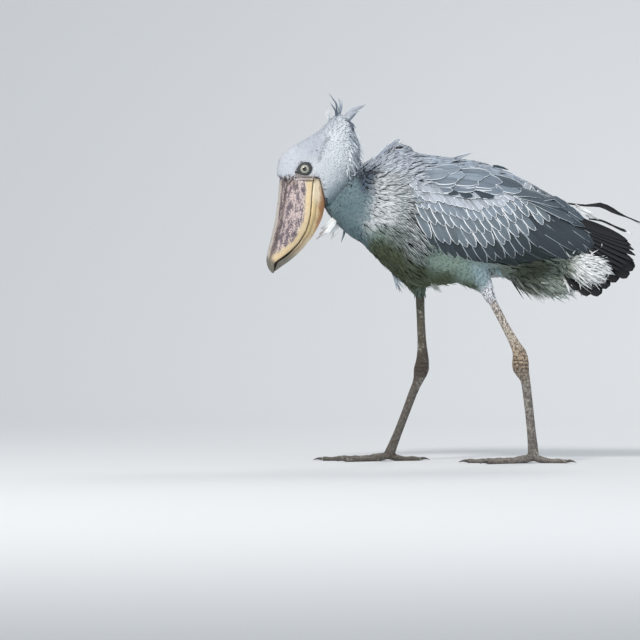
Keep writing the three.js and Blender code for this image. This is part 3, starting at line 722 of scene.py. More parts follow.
SHADE_LINES = [  # painted shade in the furrows and creases between feather tracts: a broken line of (x, z), its width, and how dark it is
    ([(-317, 790), (-324, 770), (-330, 752), (-337, 737)], 3.0, 0.45),
    ([(-84, 672), (-70, 662), (-58, 668)], 3.5, 0.75), ([(-88, 648), (-76, 646)], 3.0, 0.8),
    ([(-232, 692), (-222, 706), (-190, 706)], 4.0, 0.7), ([(-146, 762), (-130, 770), (-112, 766)], 2.4, 0.5),
    ([(-130, 668), (-105, 652)], 3.0, 0.5), ([(-122, 640), (-100, 622)], 3.0, 0.5),
    ([(-125, 612), (-98, 596)], 3.0, 0.5), ([(-128, 566), (-96, 536), (-78, 520)], 3.5, 0.6),
]


BLEND_MM = 13  # neighbouring strokes blend over about this distance


class Comb:
    """A table of strokes that can be asked for the lie at any point."""

    def __init__(self, strokes):
        places, values = [], []
        for side, plumages in strokes.items():
            for key, rows in plumages.items():
                web, rim, rim_mm = PLUMAGES[key]
                for x, z, heading, *shape in rows:
                    angle = math.radians(heading)
                    places.append((x, z, side))
                    values.append((math.cos(angle), math.sin(angle), *shape, *srgb(*web), *srgb(*rim), rim_mm))
        self.centres = np.array(places, float)[:, :2]
        self.sides = np.array(places)[:, 2]
        self.values = np.array(values)

    def at(self, points):
        away = ((points[:, None, (0, 2)] - self.centres) ** 2).sum(axis=2)
        weight = 1 / (away + BLEND_MM ** 2) ** 2
        weight *= (self.sides == BOTH) | (np.sign(points[:, 1:2]) == self.sides)
        values = weight @ self.values / weight.sum(axis=1, keepdims=True)
        heading = unit(np.stack([values[:, 0], np.zeros(len(points)), values[:, 1]], axis=1))
        return {"heading": heading, "length": values[:, 2], "width": values[:, 3], "stand": values[:, 4],
                "web": values[:, 5:8], "rim": values[:, 8:11], "rim_mm": values[:, 11]}


body_comb = Comb(BODY_STROKES)
wing_comb = Comb(WING_STROKES)
WING_FRAME = np.array([(-112, 640, 590, 100), (-88, 668, 546, 117), (-58, 680, 519, 127), (-10, 686, 499, 133),
                       (45, 684, 480, 134), (114, 680, 473, 127), (187, 672, 480, 112), (250, 652, 488, 94),
                       (306, 622, 499, 76), (342, 592, 512, 62), (366, 565, 527, 55), (440, 540, 500, 50)], float)
# columns: x, top and bottom of the folded wing in the side view, and how far out it reaches


def on_wing(at):
    """Whether a point lies on the outside of a folded wing."""
    top = np.interp(at[:, 0], WING_FRAME[:, 0], WING_FRAME[:, 1], left=0, right=0)
    bottom = np.interp(at[:, 0], WING_FRAME[:, 0], WING_FRAME[:, 2], left=1e3, right=1e3)
    return (at[:, 2] < top) & (at[:, 2] > bottom + 16) & (np.abs(at[:, 1]) > 45)


def on_line(line, shares):
    """Points at shares of a broken line's length."""
    line = np.array(line, float)
    run = np.concatenate([[0], np.cumsum(np.linalg.norm(np.diff(line, axis=0), axis=1))])
    return np.stack([np.interp(shares * run[-1], run, column) for column in line.T], axis=1)


def from_line(points, line):
    """The distance in the side view from points to a broken line."""
    fine = on_line(line, np.linspace(0, 1, 160))
    flat = points[:, (0, 2)]
    found = np.full(len(flat), np.inf)
    for spot in fine:
        found = np.minimum(found, np.hypot(*(flat - spot).T))
    return found


def lie(at):
    """The lie at points, from the wing's strokes on the wings and from the body's elsewhere."""
    body, wing = body_comb.at(at), wing_comb.at(at)
    mask = on_wing(at)
    both = {key: np.where(mask if body[key].ndim == 1 else mask[:, None], wing[key], body[key]) for key in body}
    # painted shade: web and rim are darkened along each shade line
    light = np.ones(len(at))
    for line, width, strength in SHADE_LINES:
        light *= 1 - strength * np.exp(-(from_line(at, line) / width) ** 2)
    return {**both, "web": both["web"] * light[:, None], "rim": both["rim"] * light[:, None]}


print("strokes:", len(body_comb.values), "on the body,", len(wing_comb.values), "on each wing")

# %% [markdown]
# ## The turned head
# The head is turned a little to the bird's left, so its parts are laid out straight and then turned with it. The dark
# skin round each eye has the outline of a tear, which both the lids and the feathers round them follow.

# %% Head frame
HEAD_YAW = math.radians(10)
NECK_X = -274
LID_REACH = 17.2
FRONT_POINT, REAR_POINT = 9.5, 1.8  # how far the tear's corners run past that
FRONT_CORNER = math.radians(180 + 29)
REAR_CORNER = math.radians(30)


def turn_head(points, angle=HEAD_YAW):
    """Points of the straight head, turned with it about the neck's upright line."""
    x, y = points[..., 0] - NECK_X, points[..., 1]
    c, s = math.cos(angle), math.sin(angle)
    return np.stack([x * c - y * s + NECK_X, x * s + y * c, points[..., 2]], axis=-1)


def straight(points):
    """Points of the turned head, turned back."""
    return turn_head(points, -HEAD_YAW)


EYES = {side: turn_head(np.array([-372.0, 34.5 * side, 717.5])) for side in (LEFT, RIGHT)}
EYE_AXIS = {side: unit(turn_head(np.array([NECK_X - 0.16, side, 0.04])) - [NECK_X, 0, 0]) for side in (LEFT, RIGHT)}


def eye_view(points, side):
    """Distance from the eye's axis, angle round it (0 towards the tail, a right angle upwards), and depth along it."""
    away = points - EYES[side]
    axis = EYE_AXIS[side]
    rearward = unit(np.cross(axis, [0, 0, 1]) * side)
    upward = np.cross(axis, rearward) * -side
    x, z = away @ rearward, away @ upward
    return np.hypot(x, z), np.arctan2(z, x), away @ axis, (rearward, upward, axis)


def tear(angle):
    """How far the dark skin of the lids reaches from the eye's axis, round the eye."""
    front = np.clip(np.cos(angle - FRONT_CORNER), 0, 1) ** 9
    rear = np.clip(np.cos(angle - REAR_CORNER), 0, 1) ** 3
    return LID_REACH + FRONT_POINT * front + REAR_POINT * rear


print("eyes:", [tuple(int(v) for v in eye) for eye in EYES.values()])

# %% [markdown]
# ## Sowing the roots
# Roots are sown over the skin at random and thinned, so that no two are closer than the local spacing. That gives the
# even but never regular stand of a real coat. A grid would show as stripes.

# %% Sow
def sow(piece, spacing, keep, seed):
    """Roots and normals on a piece's faces. spacing and keep are functions of points in the tables' frame."""
    chance = np.random.default_rng(seed)
    piece.data.calc_loop_triangles()
    triangle = table_mm(points_of(piece))[read(piece.data.loop_triangles, "vertices", 3, np.int32)]
    normal = np.cross(triangle[:, 1] - triangle[:, 0], triangle[:, 2] - triangle[:, 0])
    area = np.linalg.norm(normal, axis=1) / 2
    middle = triangle.mean(axis=1)
    wanted = area / spacing(middle) ** 2 * 3.0 * keep(middle, unit(normal))
    number = chance.poisson(wanted)
    index = np.repeat(np.arange(len(area)), number)
    a, b = chance.random((2, len(index)))
    fold = a + b > 1
    a, b = np.where(fold, 1 - a, a), np.where(fold, 1 - b, b)
    first, second, third = (triangle[index, i] for i in range(3))
    at = first + a[:, None] * (second - first) + b[:, None] * (third - first)
    order = chance.permutation(len(at))
    at, index = at[order], index[order]
    gap = spacing(at)
    finder = KDTree(len(at))
    for i, point in enumerate(at):
        finder.insert(point, i)
    finder.balance()
    alive = np.ones(len(at), bool)
    chosen = []
    for i, point in enumerate(at):
        if alive[i]:
            chosen.append(i)
            for _, near, _ in finder.find_range(point, gap[i]):
                alive[near] = False
    return at[chosen], unit(normal)[index[chosen]]


def lay(at, heading, length, lift, stations, stiffness=0.3):
    """Spines that creep over the skin from their roots, as two arrays: points, and the skin's normals under them.

    lift holds the height over the skin at the root and at the tip.
    """
    spines = np.empty((len(at), len(stations), 3))
    ups = np.empty_like(spines)
    steps = np.diff(stations, prepend=0)
    for i in range(len(at)):
        spot, normal, _, _ = skin_tree.find_nearest(Vector(metres(at[i])))
        way = Vector(heading[i])
        rise = lift[i]
        for k, step in enumerate(steps):
            way = (way - normal * way.dot(normal)).normalized()
            if step:
                ahead = spot + way * (step * length[i] * MM)
                found, turned, _, _ = skin_tree.find_nearest(ahead)
                hangs = (ahead - found).dot(turned) > 0
                spot = found.lerp(ahead, stiffness) if hangs else found
                normal = normal.lerp(turned, 1 - stiffness if hangs else 1).normalized()
            height = rise[0] + (rise[1] - rise[0]) * stations[k] ** 1.2
            spines[i, k] = spot + normal * (height * MM)
            ups[i, k] = normal
    spines[..., 0] -= BIRD_X
    return spines / MM, ups


def is_thigh(at):
    return between(at[:, 2], 432, 512) & between(at[:, 0], -78, 108) & (at[:, 1] < 0)


def root_spacing(at):
    """The distance between neighbouring roots in millimetres."""
    neck = smooth_step(-90, -150, at[:, 0])
    shank = smooth_step(470, 420, at[:, 2])
    less = 2.2 * neck + 1.9 * head_share(at) + 0.9 * face_share(at, 710) + 3.4 * shank + 2.2 * is_thigh(at)
    return np.clip(7.6 - less, 2.4, 8)


CAPE_LINE = np.array([(-70, 738), (60, 736), (140, 714), (260, 648)], float)  # the upper edge of the shoulder's cape
CAPE_OVERLAP = 26  # how far the coat reaches in under the cape


def feathered(at, normal):
    """1 where the body coat grows: not on the legs, lids and folds, nor under the big feathers of wing and cape."""
    grows = over_bare_leg(at) > -4
    for side in EYES:
        ring, angle, depth, _ = eye_view(at, side)
        grows &= (ring > tear(angle) + 0.5) | (depth < 0)
    facing = np.abs(normal[:, 1]) > np.where(at[:, 2] < 600, 0.0, 0.2)
    under_coverts = on_wing(at) & (at[:, 2] < 640 + 0.06 * (at[:, 0] + 60)) & facing
    folds = (np.abs(at[:, 0] + 361) < 31) & between(at[:, 2], 690, 703)
    cape_top = np.interp(at[:, 0], CAPE_LINE[:, 0], CAPE_LINE[:, 1] - CAPE_OVERLAP, left=0, right=0)
    under_cape = (at[:, 2] > 640) & (at[:, 2] < cape_top) & (np.abs(normal[:, 1]) > 0.2)
    return (grows & ~under_coverts & ~folds & ~under_cape).astype(float)


roots, root_normals = sow(skin, root_spacing, feathered, 1)
print("roots sown:", len(roots))

# %% [markdown]
# ## The body's coat
# Each root gets one vane whose heading, size and colours come from the comb, with a little chance in all of them. The
# head, neck and thighs are sleek, so their vanes are wide, flat and calm. Elsewhere the tips stand out, and a few are
# ruffled. Five pieces share the coat, so that each keeps a moderate size.

# %% Body coat
def coat_height(at):
    """How deep the plumage is over the finished skin, in millimetres."""
    leg = smooth_step(500, 420, at[:, 2])
    cape_line = np.interp(at[:, 0], CAPE_LINE[:, 0], CAPE_LINE[:, 1], left=0, right=0)
    cape = smooth_step(4, -10, at[:, 2] - cape_line) * (at[:, 2] > 640)
    return (coat_depth(at) - 4 * leg) * (1 - 0.4 * cape)


def jitter(chance, count, size):
    """Normal chance of that size, with its far tails cut off."""
    return np.clip(chance.normal(0, size, count), -2.5 * size, 2.5 * size)


def turned(heading, normal, angles):
    """Headings turned about the normals by angles in radians."""
    return heading * np.cos(angles)[:, None] + np.cross(normal, heading) * np.sin(angles)[:, None]


def stop_at_lids(at, heading, length):
    """Shorter lengths for the vanes that would run over the bare lids."""
    for side, eye in EYES.items():
        ring, angle, _, _ = eye_view(at, side)
        reach = ring - tear(angle)
        towards = (((eye - at) * heading).sum(axis=1) > 0) & (np.sign(at[:, 1] + 17) == side)
        length = np.where(towards & (reach < length), np.maximum(reach, 2.5), length)
    return length


def body_vanes(name, pattern, at, normal, seed, camber):
    chance = np.random.default_rng(seed)
    count = len(at)
    look = lie(at)
    heading = unit(look["heading"] - normal * (look["heading"] * normal).sum(axis=1, keepdims=True))
    crown = smooth_step(-235, -285, at[:, 0]) * smooth_step(590, 660, at[:, 2])
    sleek = np.maximum(crown, 0.9 * np.maximum(smooth_step(-190, -215, at[:, 0]), is_thigh(at)))
    calm = 1 - 0.65 * sleek
    heading = turned(heading, normal, jitter(chance, count, 0.13) * calm)
    length = stop_at_lids(at, heading, look["length"] * (1 + jitter(chance, count, 0.12)))
    ruffle = np.where((chance.random(count) < 0.04) & (sleek < 0.5), 1.6, 1.0)
    stand = look["stand"] * (0.8 + 0.5 * chance.random(count)) * ruffle
    depth = coat_height(at)
    sleek = sleek * (stand < 0.6)
    lift = np.stack([depth * (0.28 + 0.25 * sleek), depth * (0.55 + 0.05 * sleek + 0.55 * stand)], axis=1)
    spines, ups = lay(at, heading, length, lift, pattern.stations)
    tone = (1 + jitter(chance, count, 0.10) * calm)[:, None]
    half = look["width"] / 2 * (1 + jitter(chance, count, 0.1)) * (1 + 0.35 * sleek)
    roll = jitter(chance, count, 0.16) * calm
    return grow(name, pattern, spines, ups, half, look["web"] * tone, look["rim"] * (0.7 + 0.3 * tone),
                look["rim_mm"], thick=min(0.3, camber + 0.07), camber=camber, roll=roll)


is_neck = roots[:, 0] < -203 + 0.25 * np.clip(600 - roots[:, 2], 0, 80)
AREAS = [  # piece, where its roots are unless an earlier area has them, pattern, random seed, dome
    ("head_feathers", (roots[:, 0] < -255) & (roots[:, 2] > 640), ROUNDED, 2, 0.08),
    ("neck_feathers", is_neck, ROUNDED, 5, 0.22),
    ("breast_feathers", roots[:, 0] < -95, LANCE, 3, 0.22),
    ("body_feathers", ~is_thigh(roots), ROUNDED, 4, 0.22),
    ("thigh_feathers", is_thigh(roots), ROUNDED, 6, 0.06),
]
coat = []
free = np.full(len(roots), True)
for name, area, pattern, seed, camber in AREAS:
    own = area & free
    free &= ~own
    coat.append(body_vanes(name, pattern, roots[own], root_normals[own], seed, camber))
print("body coat:", {p.name: triangles_of(p) for p in coat})

# %% [markdown]
# ## Rows of the folded wing
# The wing's feathers are few and large, and they stand in rows like tiles: dark flight feathers lowest, then greater,
# median and lesser coverts, each row over the one below. A row is given by the line of its tips in the side view. The
# feathers are laid out there and then draped on the wing, each rolled a little so that neighbours overlap.

# %% Drape
PLUMAGES.update({
    "secondary": ((38, 48, 50), (84, 97, 101), 1.6),
    "greater": ((60, 71, 76), (190, 199, 205), 2.4),
    "covert": ((112, 123, 131), (234, 238, 241), 3.2),
    "scapular": ((116, 127, 139), (226, 231, 236), 2.9),
    "scapular_plain": ((132, 143, 155), (206, 213, 220), 2.2),
    "scapular_dark": ((52, 64, 73), (140, 152, 161), 1.8),
    "tertial": ((56, 66, 72), (186, 195, 202), 1.3),
    "tertial_top": ((76, 87, 96), (204, 212, 218), 1.4),
    "primary": ((9, 12, 15), (30, 38, 43), 1.0),
    "tail": ((8, 10, 11), (22, 27, 29), 0.9),
})


def plumage_of(key, count):
    """One row for each vane: the web's and the rim's colours, and the rim's width."""
    web, rim, width = PLUMAGES[key]
    return np.tile(srgb(*web), (count, 1)), np.tile(srgb(*rim), (count, 1)), np.full(count, width)


WING_END_X = 330


def drape(roots, tips, bend, side, lift, stations):
    """Spines from roots to tips, both (x, z) in the side view, that lie on the skin or hang on past its edge."""
    stations = np.array(stations)
    along = tips - roots
    across = np.stack([-along[:, 1], along[:, 0]], axis=1)
    arch = (4 * stations * (1 - stations))[None, :, None]
    flat = roots[:, None] + along[:, None] * stations[None, :, None] + across[:, None] * arch * bend
    spines = np.empty((len(roots), len(stations), 3))
    ups = np.empty_like(spines)
    for i in range(len(roots)):
        facing = Vector((0, side, 0))
        for k, (x, z) in enumerate(flat[i]):
            start = Vector((x * MM + BIRD_X, 0.3 * side, z * MM))
            hit, normal, _, _ = skin_tree.ray_cast(start, Vector((0, -side, 0)), 0.6)
            out = (np.interp(x, WING_FRAME[:, 0], WING_FRAME[:, 3]) - COAT_MM) * side
            if hit is not None and hit.y * side > 0 and normal.y * side > 0.35:
                place = (x, hit.y / MM, z)
                facing = normal
            elif x < WING_END_X:
                near, normal, _, _ = skin_tree.find_nearest(Vector((x * MM + BIRD_X, out * MM, z * MM)))
                place = (x, near.y / MM, min(z, near.z / MM))
                facing = normal
            else:
                place = (x, out, z)
            spines[i, k] = place
            ups[i, k] = facing
    for values in (spines[:, :, 1:2], ups):
        values[:, 1:-1] = values[:, :-2] * 0.25 + values[:, 1:-1] * 0.5 + values[:, 2:] * 0.25
    ups = unit(ups)
    lifts = lift[:, :1] + (lift[:, 1:] - lift[:, :1]) * stations
    return spines + ups * lifts[..., None], ups


WING_ROWS = [  # name, plumage, count, length, half width, heading in front, heading behind, lifts, line of tips
    ("secondaries", "secondary", 12, 150, 12.5, -17, -26, (0.8, 2.4),
     [(-30, 502), (40, 488), (115, 480), (185, 481), (255, 486), (330, 500)]),
    ("greater_coverts", "greater", 15, 84, 13.0, -64, -52, (1.6, 4.0),
     [(-70, 516), (-20, 508), (30, 491), (100, 497), (165, 508), (205, 524), (258, 556)]),
    ("outer_coverts", "covert", 16, 72, 12.0, -60, -50, (2.6, 5.2),
     [(-64, 552), (-10, 541), (45, 527), (100, 534), (165, 551), (212, 580), (266, 600)]),
    ("middle_coverts", "covert", 18, 58, 11.0, -58, -48, (3.4, 6.2),
     [(-70, 588), (0, 576), (60, 562), (110, 566), (160, 588), (215, 612), (262, 630)]),
    ("median_coverts", "median", 21, 46, 9.5, -57, -46, (4.0, 7.0),
     [(-84, 622), (-40, 610), (10, 598), (60, 590), (104, 598), (150, 614), (190, 632), (245, 655)]),
    ("lesser_coverts_low", "lesser", 22, 40, 9.5, -54, -46, (4.6, 8.2),
     [(-94, 646), (-40, 633), (10, 622), (60, 614), (104, 621), (150, 636), (190, 648)]),
    ("lesser_coverts_high", "lesser", 23, 36, 9.5, -48, -46, (5.4, 9.0),
     [(-94, 664), (-40, 655), (10, 646), (60, 640), (104, 643), (150, 652), (200, 661)]),
]


def wing_row(row, side, seed):
    """One row of the folded wing, with its tips spread along the row's line."""
    name, key, count, length, half, front, behind, lift, line = row
    chance = np.random.default_rng(seed)
    share = (np.arange(count) + 0.5 + jitter(chance, count, 0.11)) / count
    tips = on_line(line, share)
    angle = np.radians(front + (behind - front) * share) + jitter(chance, count, 0.09 if key == "lesser" else 0.05)
    reach = length * (1 + jitter(chance, count, 0.06))
    heading = np.stack([np.cos(angle), np.sin(angle)], axis=1)
    tips = tips + heading * jitter(chance, count, 3.0)[:, None]
    lifts = np.tile(lift, (count, 1)) + jitter(chance, count, 0.3)[:, None]
    pattern = BLADE if key == "secondary" else COVERT
    spines, ups = drape(tips - heading * reach[:, None], tips, 0.03, side, lifts, pattern.stations)
    web, rim, rim_mm = plumage_of(key, count)
    tone = (1 + jitter(chance, count, 0.11))[:, None]
    return grow(f"{name}_{SIDES[side > 0]}", pattern, spines, ups, np.full(count, half), web * tone, rim, rim_mm,
                thick=0.5, camber=0.16, roll=side * (0.09 + jitter(chance, count, 0.03)))


big_feathers = []
for side in (LEFT, RIGHT):
    for number, row in enumerate(WING_ROWS):
        big_feathers.append(wing_row(row, side, 100 + 10 * number + side))
print("wing rows:", len(big_feathers), "pieces,", triangles_of(*big_feathers), "triangles")

# %% [markdown]
# ## Scapulars and tertials
# The shoulder carries a cape of broad soft feathers that hides the wing's root, and the long tertials run from it to
# the wing tip. There are few and each shows whole, so they are listed one by one, from the lowest up.

# %% Scapulars and tertials
SCAPULARS = [  # plumage, root x, z, tip x, z, half width
    ("scapular_dark", -58, 674, 11, 659, 11), ("scapular_dark", -18, 674, 45, 652, 12),
    ("scapular_dark", 21, 681, 97, 652, 16), ("scapular", -70, 681, -4, 666, 11),
    ("scapular", -33, 684, 53, 668, 12), ("scapular", 77, 688, 165, 673, 12),
    ("scapular", -62, 698, 4, 681, 13), ("scapular", -23, 701, 60, 681, 15),
    ("scapular", 16, 701, 104, 674, 15), ("scapular_dark", 85, 706, 163, 676, 13),
    ("scapular", 40, 715, 121, 666, 17), ("scapular", -58, 718, 11, 693, 16),
    ("scapular", -16, 723, 60, 688, 17), ("scapular", 21, 728, 104, 684, 17),
    ("scapular", 70, 730, 165, 679, 17), ("scapular_plain", -82, 735, -13, 713, 17),
    ("scapular_plain", -48, 740, 26, 710, 18), ("scapular_plain", -9, 742, 75, 708, 20),
    ("scapular", 36, 742, 119, 701, 18), ("tertial_top", 114, 725, 224, 664, 18),
    ("scapular_plain", -58, 750, 16, 735, 17), ("scapular", 4, 750, 89, 725, 18),
    ("tertial_top", 65, 742, 168, 703, 18), ("tertial_top", 143, 720, 266, 642, 17),
    ("tertial_top", 128, 698, 252, 632, 13), ("scapular_dark", 158, 700, 284, 620, 12),
    ("tertial_top", 176, 704, 300, 616, 12), ("scapular_dark", 200, 690, 318, 604, 11),
]
TERTIALS = [
    ("tertial", 143, 588, 276, 500, 18), ("tertial", 153, 608, 303, 517, 15), ("tertial", 189, 617, 327, 514, 15),
    ("tertial", 194, 630, 352, 514, 13), ("tertial", 194, 639, 339, 537, 12), ("tertial_top", 199, 649, 359, 545, 12),
    ("tertial_top", 199, 659, 339, 564, 11), ("tertial_top", 194, 669, 317, 588, 12),
    ("tertial_top", 189, 679, 295, 610, 12), ("tertial_top", 153, 691, 276, 627, 13),
]


def listed(rows, side, seed):
    """Roots, tips, half widths, looks and chance. On the unseen right side, chance moves the tips a little."""
    chance = np.random.default_rng(seed)
    shapes = np.array([row[1:] for row in rows], float)
    tips = shapes[:, 2:4]
    if side == RIGHT:
        tips = tips + chance.normal(0, 4, tips.shape)
    looks = zip(*(plumage_of(row[0], 1) for row in rows))
    return shapes[:, :2], tips, shapes[:, 4], [np.concatenate(part) for part in looks], chance


def rising(count, first, more):
    """Lifts at root and tip, each feather's higher than the last one's, so that it lies over it."""
    return np.array(first) + np.array(more) * np.arange(count)[:, None]


def scapulars(side, seed):
    """The shoulder's cape, which creeps down over the skin from its roots."""
    roots, tips, half, (web, rim, rim_mm), chance = listed(SCAPULARS, side, seed)
    count = len(roots)
    start = np.stack([roots[:, 0], np.full(count, 150.0 * side), roots[:, 1] + 12], axis=1)
    aim = tips - roots
    lift = rising(count, (4.0, 10.5), (0.05, 0.12))
    for _ in range(3):  # the first try misses its tip where the shoulder curves away, so the next ones aim off
        heading = unit(np.stack([aim[:, 0], np.zeros(count), aim[:, 1]], axis=1))
        spines, ups = lay(start, heading, np.linalg.norm(aim, axis=1), lift, BLADE.stations, 0.2)
        aim = aim + np.clip(tips - spines[:, -1, (0, 2)], -14, 14) * 0.9
    tone = (1 + jitter(chance, count, 0.06))[:, None]
    return grow(f"scapulars_{SIDES[side > 0]}", BLADE, spines, ups, half, web * tone, rim, rim_mm, thick=0.5,
                camber=0.14, roll=side * 0.05)


def tertials(side, seed):
    """The long inner feathers, draped from the cape towards the wing's tip."""
    roots, tips, half, (web, rim, rim_mm), _ = listed(TERTIALS, side, seed)
    lift = rising(len(roots), (2.0, 4.5), (0.4, 0.5))
    spines, ups = drape(roots, tips, 0.035, side, lift, BLADE.stations)
    return grow(f"tertials_{SIDES[side > 0]}", BLADE, spines, ups, half, web, rim, rim_mm, thick=0.6, camber=0.14,
                roll=side * 0.06)


for side in (LEFT, RIGHT):
    big_feathers += [tertials(side, 30 + side), scapulars(side, 40 + side)]
print("cape:", triangles_of(*big_feathers[-4:]), "triangles")

# %% [markdown]
# ## Flight feathers of the tip, and the tail
# The black primaries and tail feathers are stiff blades. Each follows a straight line from its root to its tip, with a
# slight upward bow. They spread like a hand of cards, so roots and tips are both read off short lines.

# %% Primaries and tail
def curve(points, shares):
    """Points of a smooth line through the given ones, at shares of its length."""
    points = np.asarray(points, float)
    padded = np.vstack([2 * points[0] - points[1], points, 2 * points[-1] - points[-2]])
    t = np.linspace(0, 1, 12, endpoint=False)[:, None]
    parts = [0.5 * (2 * b + (c - a) * t + (2 * a - 5 * b + 4 * c - d) * t ** 2 + (3 * b - a - 3 * c + d) * t ** 3)
             for a, b, c, d in zip(padded, padded[1:], padded[2:], padded[3:])]
    return on_line(np.vstack([*parts, points[-1:]]), np.asarray(shares))


def blades(name, key, pattern, count, half, bow, facing, roll, lag, root_line, tip_line, side):
    """Stiff feathers in the air. lag moves each one outwards from the last, so that they lie like cards."""
    roots, tips = (curve(line, np.linspace(0, 1, count)) for line in (root_line, tip_line))
    s = pattern.stations
    flip = np.array([1, side, 1])
    order = np.arange(count)[:, None]
    roots, tips = (ends * flip + order * lag * np.array([0, side, 0]) for ends in (roots, tips))
    spines = roots[:, None] + (tips - roots)[:, None] * s[None, :, None]
    spines = spines + np.array([0, 0, bow]) * (4 * s * (1 - s))[None, :, None]
    ups = np.tile(unit(np.array(facing, float) * flip), (count, len(s), 1))
    web, rim, rim_mm = plumage_of(key, count)
    tone = (1 + 0.16 * np.cos(order * 2.4))
    return grow(f"{name}_{SIDES[side > 0]}", pattern, spines, ups, np.full(count, half), web * tone, rim, rim_mm,
                thick=0.7, camber=0.06, roll=side * roll)


FANS = [  # piece, plumage, pattern, count, half width, bow, facing, roll, lag, line of roots, line of tips
    ("primary_blades", "primary", BLADE, 8, 11.5, 4, (0.1, 1, 0.35), 0.06, 0.5, [(256, 72, 572), (262, 72, 604)],
     [(408, 37, 468), (428, 41, 482), (440, 45, 496), (443, 47, 508), (438, 49, 524), (424, 52, 543)]),
    ("tail_blades", "tail", BROAD, 7, 19, 3, (0.3, 1, 0.3), 0.05, -0.3, [(246, 20, 528), (262, 10, 548), (270, 4, 568)],
     [(306, 36, 424), (334, 34, 409), (350, 31, 405), (380, 25, 430), (410, 17, 450), (440, 9, 460), (442, 4, 474)]),
]
for side in (LEFT, RIGHT):
    for fan in FANS:
        big_feathers.append(blades(*fan, side))
print("big feathers:", len(big_feathers), "pieces,", triangles_of(*big_feathers), "triangles")

# %% [markdown]
# ## Plumes
# The crest, the ruff at the shoulders, loose feathers at throat, nape and belly, and two long wisps behind the wing
# stand free in the air. A plume is a small bundle of lances that start together and part towards their tips. The two
# wisps are single strands whose width changes from end to end.

# %% Plumes
def bundle(route, sides_y, half, strands, spread, seed, pattern=LANCE, with_head=False):
    """Strands along one route of (x, z), from y at its root to y at its tip, which part by the spread at their tips."""
    chance = np.random.default_rng(seed)
    path = np.array([(x, 0, z) for x, z in route], float)
    path[:, 1] = np.linspace(*sides_y, len(path))
    spine = curve(path, pattern.stations)
    if with_head:
        spine = turn_head(spine)
    others = np.arange(strands) > 0  # the first strand keeps to the route
    sway = chance.normal(0, spread, (strands, 1, 3)) * [1, 1.4, 1] * others[:, None, None]
    spines = spine + sway * pattern.stations[:, None] ** 1.5
    spines = spines + chance.normal(0, 1.2, (strands, 1, 3)) * others[:, None, None]
    shorter = 1 - 0.35 * chance.random(strands) * others
    spines = spines[:, :1] + (spines - spines[:, :1]) * shorter[:, None, None]
    along = unit(np.gradient(spines, axis=1))
    ups = unit(np.cross(along, np.cross(np.array([0.25, -1, 0.35]), along)))
    return spines, ups, np.full(strands, half) * (0.7 + 0.3 * shorter)


FLOW = Pattern(4, tuple(np.linspace(0, 1, 15)), (1,) * 15)
PLUMES = [  # name, route, y at root and tip, half width, strands, spread, plumage
    ("crest_1", [(-294, 822), (-285, 852), (-289, 878), (-307, 903)], (-4, -9), 2.6, 4, 3, "slate"),
    ("crest_2", [(-286, 830), (-276, 862), (-281, 893)], (4, 9), 2.6, 4, 4, "nape"),
    ("crest_3", [(-288, 820), (-264, 852), (-242, 869), (-216, 875)], (-7, -13), 3.8, 6, 4, "crown"),
    ("crest_4", [(-278, 812), (-252, 842), (-234, 862)], (8, 15), 3.8, 6, 4, "nape"),
    ("crest_5", [(-302, 818), (-305, 846), (-312, 867)], (6, 11), 2.0, 4, 5, "cheek"),
    ("throat_1", [(-288, 600), (-311, 568), (-336, 546)], (-14, -20), 6.4, 7, 6, "down"),
    ("throat_2", [(-282, 594), (-292, 564), (-300, 545)], (-4, -8), 5.2, 6, 6, "down"),
    ("throat_3", [(-264, 582), (-270, 554), (-275, 538)], (6, 8), 2.6, 3, 4, "neck"),
    ("ruff_1", [(-206, 728), (-180, 750), (-154, 774)], (-16, -8), 6.0, 5, 5, "mantle"),
    ("ruff_2", [(-184, 744), (-158, 770), (-131, 791)], (-8, -2), 6.0, 5, 4, "mantle"),
    ("ruff_3", [(-170, 752), (-146, 772), (-122, 788)], (4, 10), 6.0, 4, 4, "pale"),
    ("ruff_4", [(-150, 750), (-128, 764), (-104, 766)], (-20, -14), 7.0, 5, 4, "mantle"),
    ("fringe_1", [(-150, 462), (-140, 442), (-126, 415)], (-8, -12), 2.4, 13, 8, "throat"),
    ("fringe_2", [(-60, 448), (-48, 432), (-32, 415)], (-26, -28), 2.2, 9, 7, "vent_pale"),
    ("fringe_3", [(262, 456), (280, 438), (294, 415)], (-26, -38), 2.6, 10, 7, "down"),
    ("fringe_4", [(98, 484), (106, 470), (118, 456)], (-62, -68), 1.8, 13, 6, "thigh"),
    ("back_1", [(0, 744), (24, 752), (45, 757)], (-14, -10), 3.5, 2, 2, "mantle"),
    ("back_2", [(96, 726), (116, 722), (134, 716)], (-22, -20), 4.5, 1, 0, "scapular_dark"),
    ("wisp_tip_1", [(432, 597), (452, 590), (470, 581)], (-13, -12), 1.8, 4, 3, "mantle"),
    ("wisp_tip_2", [(418, 569), (430, 563), (437, 560)], (-23, -22), 2.2, 4, 4, "down"),
    ("rump_down", [(298, 630), (322, 612), (352, 596)], (-30, -36), 4.0, 9, 8, "down"),
    ("nape_0", [(-272, 812), (-250, 815), (-238, 800)], (-6, -8), 3.0, 6, 6, "nape"),
    ("nape_dark", [(-270, 836), (-254, 830), (-244, 810)], (-8, -12), 2.6, 7, 5, "slate"),
    ("nape_1", [(-262, 800), (-248, 796), (-236, 782)], (0, 2), 3.0, 5, 6, "nape"),
    ("nape_2", [(-256, 775), (-240, 770), (-228, 752)], (-6, -8), 3.0, 5, 6, "cheek"),
    ("nape_3", [(-252, 752), (-238, 745), (-230, 728)], (4, 6), 3.0, 5, 5, "nape"),
]


